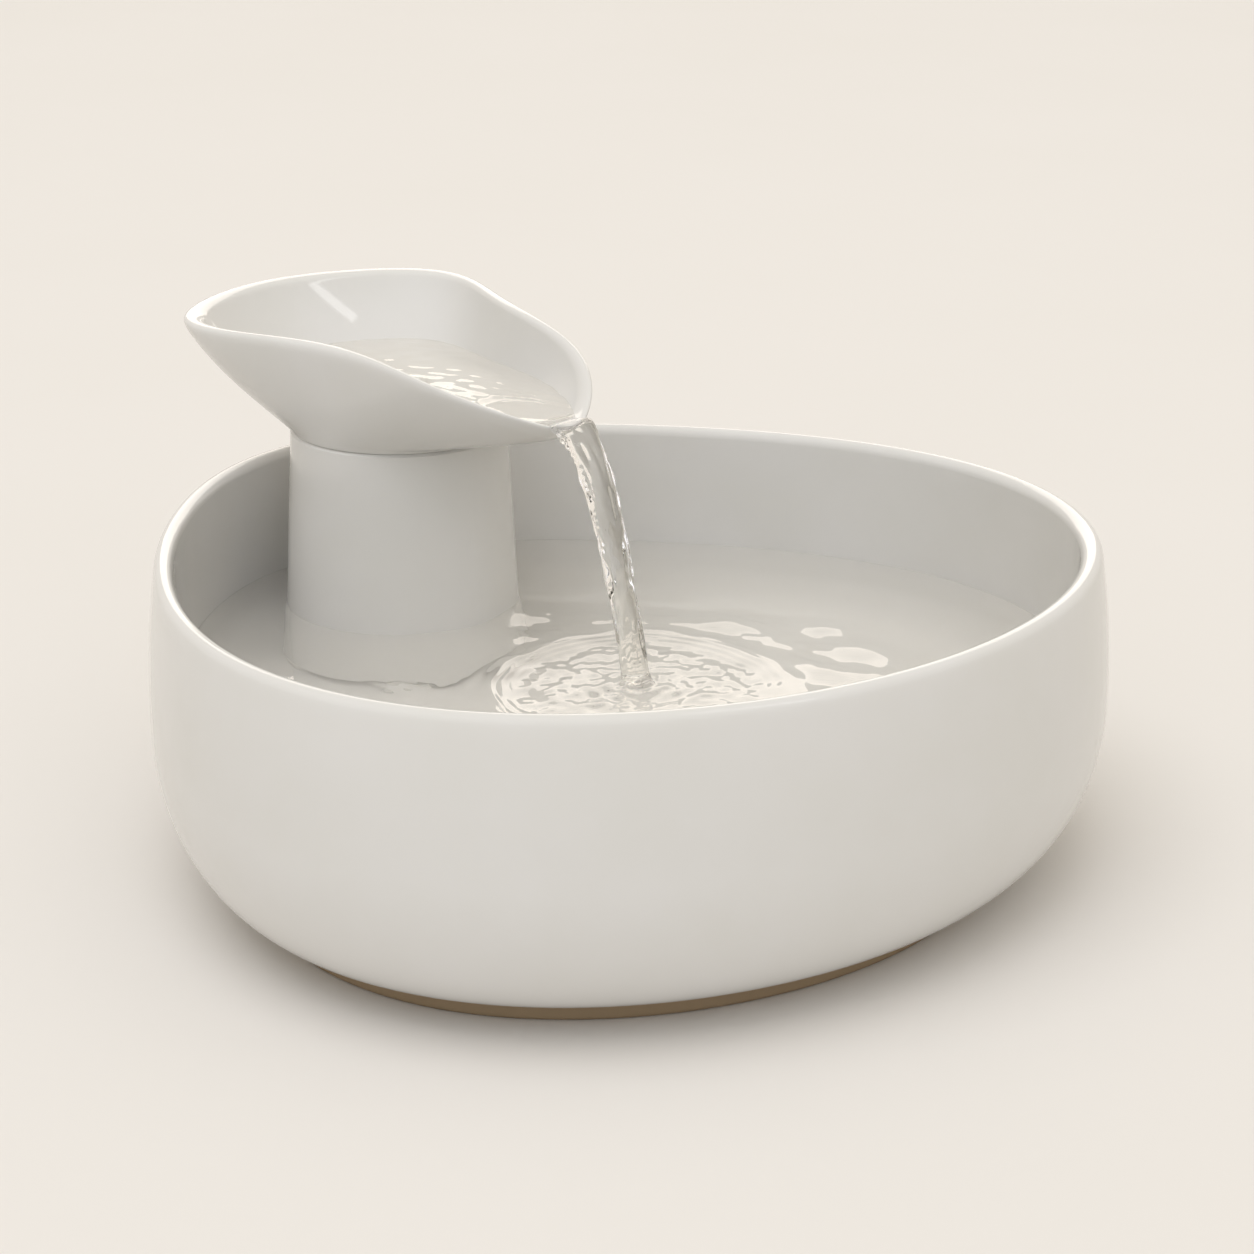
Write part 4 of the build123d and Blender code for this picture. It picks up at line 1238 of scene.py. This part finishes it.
# ---------------------------------------------------------------- studio
@dataclass(frozen=True)
class Studio:
    """Floor, camera and plain soft light. Directions are an azimuth and an elevation in
    degrees."""

    azimuth: float = 46.137
    elevation: float = 19.087
    distance: float = 1041.0
    aim: Triple = (4.25, 9.88, 70.92)
    lens: float = 98.23
    sensor: float = 36.0
    clip_end: float = 50.0          # metres
    floor_reach: float = 9000.0
    floor_inner: float = 400.0
    floor_depth: float = 10.0
    lamp_centre: float = 0.1        # metres up, where the soft boxes aim
    glow: tuple[str, str] = ("ABA28E", "FFF9EF")
    glow_span: Pair = (0.0, 0.9)
    glow_strength: float = 0.95
    backdrop: str = "F4ECE2"

    def floor(self) -> Object:
        """Builds the floor as a wide disc.

        Returns:
            The floor.
        """
        angle = full_turn(96)
        radius = np.array([self.floor_reach, self.floor_inner])[:, None]
        ring = np.stack((radius * np.cos(angle), radius * np.sin(angle), 0 * radius * angle), -1)
        under = ring[:1] - np.array([0.0, 0.0, self.floor_depth])
        plate = ring_surface("floor", np.vstack((under, ring)), Ends.POLES)
        plate.data.materials.append(StudioFloor().material())
        return plate

    def direction(self, azimuth: float, elevation: float) -> Vector:
        """Unit vector towards a place in the room."""
        turn, tilt = radians(azimuth), radians(elevation)
        return Vector((sin(turn) * cos(tilt), -cos(turn) * cos(tilt), sin(tilt)))

    def camera(self, centre: float) -> None:
        """Makes the camera.

        Args:
            centre: X of the bowl's middle, in millimetres.
        """
        data = bpy.data.cameras.new("camera")
        data.lens = self.lens
        data.sensor_width = self.sensor
        data.clip_end = self.clip_end
        camera = add_object("camera", data)
        towards = self.direction(self.azimuth, self.elevation)
        target = Vector(self.aim) * MM + Vector((centre * MM, 0.0, 0.0))
        camera.location = target + towards * self.distance * MM
        camera.rotation_euler = (-towards).to_track_quat("-Z", "Y").to_euler()
        bpy.context.scene.camera = camera

    def lamp(self, name: str, aim: Pair, power: float, colour: str, spread: float | None = None,
             size: Pair = (0.0, 0.0), distance: float = 0.0) -> None:
        """Adds a sun, which lights surfaces and doesn't show in gloss, or a soft box, which shows
        in gloss and doesn't light matt surfaces.

        Args:
            name: Name of the lamp.
            aim: Azimuth and elevation that it shines from.
            power: Strength of a sun, or watts of a soft box.
            colour: Hex colour.
            spread: Angle that a sun is softened over, in degrees, or None for a soft box.
            size: Width and height of a soft box, in metres.
            distance: How far off a soft box stands, in metres.
        """
        towards = self.direction(*aim)
        data = bpy.data.lights.new(name, "AREA" if spread is None else "SUN")
        data.energy = power
        data.color = linear(colour)[:3]
        holder = add_object(name, data)
        holder.rotation_euler = towards.to_track_quat("Z", "Y").to_euler()
        if spread is None:
            data.shape = "RECTANGLE"
            data.size, data.size_y = size
            holder.location = towards * distance + Vector((0.0, 0.0, self.lamp_centre))
            holder.visible_diffuse = False
        else:
            data.angle = radians(spread)
            holder.visible_glossy = False

    def world(self) -> None:
        """Lights the room evenly. What the lens and the gloss see of it is the pale backdrop."""
        world = bpy.data.worlds.new("room")
        world.use_nodes = True
        tree = world.node_tree
        tree.nodes.clear()
        place = add_node(tree, "TexCoord").outputs["Generated"]
        height = add_node(tree, "SeparateXYZ", {"Vector": place}).outputs["Z"]
        colour = blend_colour(tree, between(tree, height, self.glow_span), *self.glow)
        glow = add_node(tree, "Background", {"Color": colour, "Strength": self.glow_strength})
        shown = add_node(tree, "Background", {"Color": linear(self.backdrop), "Strength": 1.0})
        rays = add_node(tree, "LightPath").outputs
        seen = rays["Is Camera Ray"]
        for kind in ("Is Glossy Ray", "Is Transmission Ray"):
            seen = add_node(tree, "Math", {0: seen, 1: rays[kind]}, operation="ADD",
                            use_clamp=True).outputs[0]
        mixed = add_node(tree, "MixShader", {0: seen, 1: glow.outputs[0], 2: shown.outputs[0]})
        add_node(tree, "OutputWorld", {"Surface": mixed.outputs[0]})
        bpy.context.scene.world = world

    def light(self) -> None:
        """Sets up the light: the room, a broad lamp overhead and a softer one beside the lens. Two
        soft boxes show in gloss: a tall one at the right, and a wide one behind that the water
        mirrors."""
        self.world()
        self.lamp("key", (8.0, 72.0), 0.79, "F7F9FE", spread=45.0)
        self.lamp("fill", (44.0, 27.0), 0.60, "D9E8FF", spread=70.0)
        self.lamp("right", (115.0, 60.0), 1.1, "FFFFFF", size=(0.13, 0.8), distance=1.7)
        self.lamp("behind", (226.0, 24.0), 10.5, "FFF6EC", size=(1.7, 1.1), distance=2.2)
        bpy.context.scene.view_settings.view_transform = "Standard"


# ---------------------------------------------------------------- assembly
SMALL_FINISHES = {finish.name: finish for finish in (
    Moulded("silicone", "E2E1DC", "DBDAD4", 0.42, soft=0.25),
    Moulded("clear_hose", "DDE1E0", "D5DAD9", 0.3, 6.0, 0.02, clear=0.45),
    Moulded("white_plastic", "E6E6E2", "DFDFDA", 0.36),
    Moulded("black_plastic", "222326", "1B1C1F", 0.5),
    Moulded("grey_plastic", "8B8D8F", "828487", 0.4),
    Moulded("black_rubber", "1F1F20", "19191A", 0.7, grain_depth=0.03),
    Moulded("potting_epoxy", "17181A", "131416", 0.14, 5.0, 0.05),
    Moulded("nylon", "D9D5C8", "CFCABB", 0.4),
    Moulded("ferrite", "4B4B4F", "3F3F43", 0.62, 0.6, 0.05),
    Banded("core_steel", "A7A8AA", "5E5F61", 0.38, 1.0, 0.5, 0.05, Along.X),
    # copper's dark band colour is painted shade in the grooves between the turns
    Banded("copper", "B9683A", "6E3415", 0.3, 1.0, 0.34, 0.12, Along.Y),
    GroundSteel(),
    OpenFoam(),
)}


def dress(piece: Object, material: Material) -> None:
    """Gives a piece one material in every slot."""
    piece.data.materials.clear()
    piece.data.materials.append(material)


def place_shell(piece: Object, material: Material, body: str, slot: str | None, *nodes: str
                ) -> None:
    """Dresses a new piece, sets it on its body and hides the nodes it stands for.

    Args:
        piece: The piece.
        material: Its material.
        body: Body that it rides on.
        slot: The record's material slot, or None for one that the record doesn't have. Not used.
        *nodes: Nodes that the piece stands for.
    """
    dress(piece, material)
    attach(piece, body)
    if nodes:
        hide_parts(*nodes)
    LOG.info("%s: %d faces on %s", piece.name, len(piece.data.polygons), body)


def dress_nodes(frame: dict, ceramic: Material) -> None:
    """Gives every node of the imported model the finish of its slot.

    Args:
        ceramic: The glazed ceramic, shared with the shells.
    """
    made = {"glazed_ceramic": ceramic}
    for part in frame["record"]["subparts"]:
        slot = part["material_slot"]
        if slot not in made:
            made[slot] = SMALL_FINISHES[slot].material()
        dress(frame["nodes"][part["node"]], made[slot])
        LOG.info("%s: %s", part["node"], slot)


def main() -> None:
    """Builds the fountain and its studio."""
    logging.basicConfig(level=logging.INFO, format="%(name)s %(message)s")
    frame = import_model()
    ceramic = GlazedCeramic().material()
    dress_nodes(frame, ceramic)

    bowl = Bowl()
    dish = SpoutDish()
    place_shell(bowl.shape(), ceramic, "bowl", "glazed_ceramic", "bowl")
    place_shell(dish.shape(), ceramic, "dish", "glazed_ceramic", "spout_dish")

    foam = Foam().shape()
    place_shell(foam, frame["nodes"]["foam_prefilter"].data.materials[0], "bowl", "foam",
                "foam_prefilter")

    water = Water(bowl, dish)
    veiled = ClearWater("pool_water", "FCF9F2", 0.73).material()
    running = ClearWater("running_water", "FEFDFA", 1.0).material()
    place_shell(water.pool(), veiled, "bowl", None)
    place_shell(water.dish_water(), veiled, "dish", None)
    stream = water.stream()
    place_shell(stream, running, "dish", None)
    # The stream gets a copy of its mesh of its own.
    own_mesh(stream)

    studio = Studio()
    studio.floor()
    studio.camera(bowl.middle)
    studio.light()


if __name__ == "__main__":
    main()
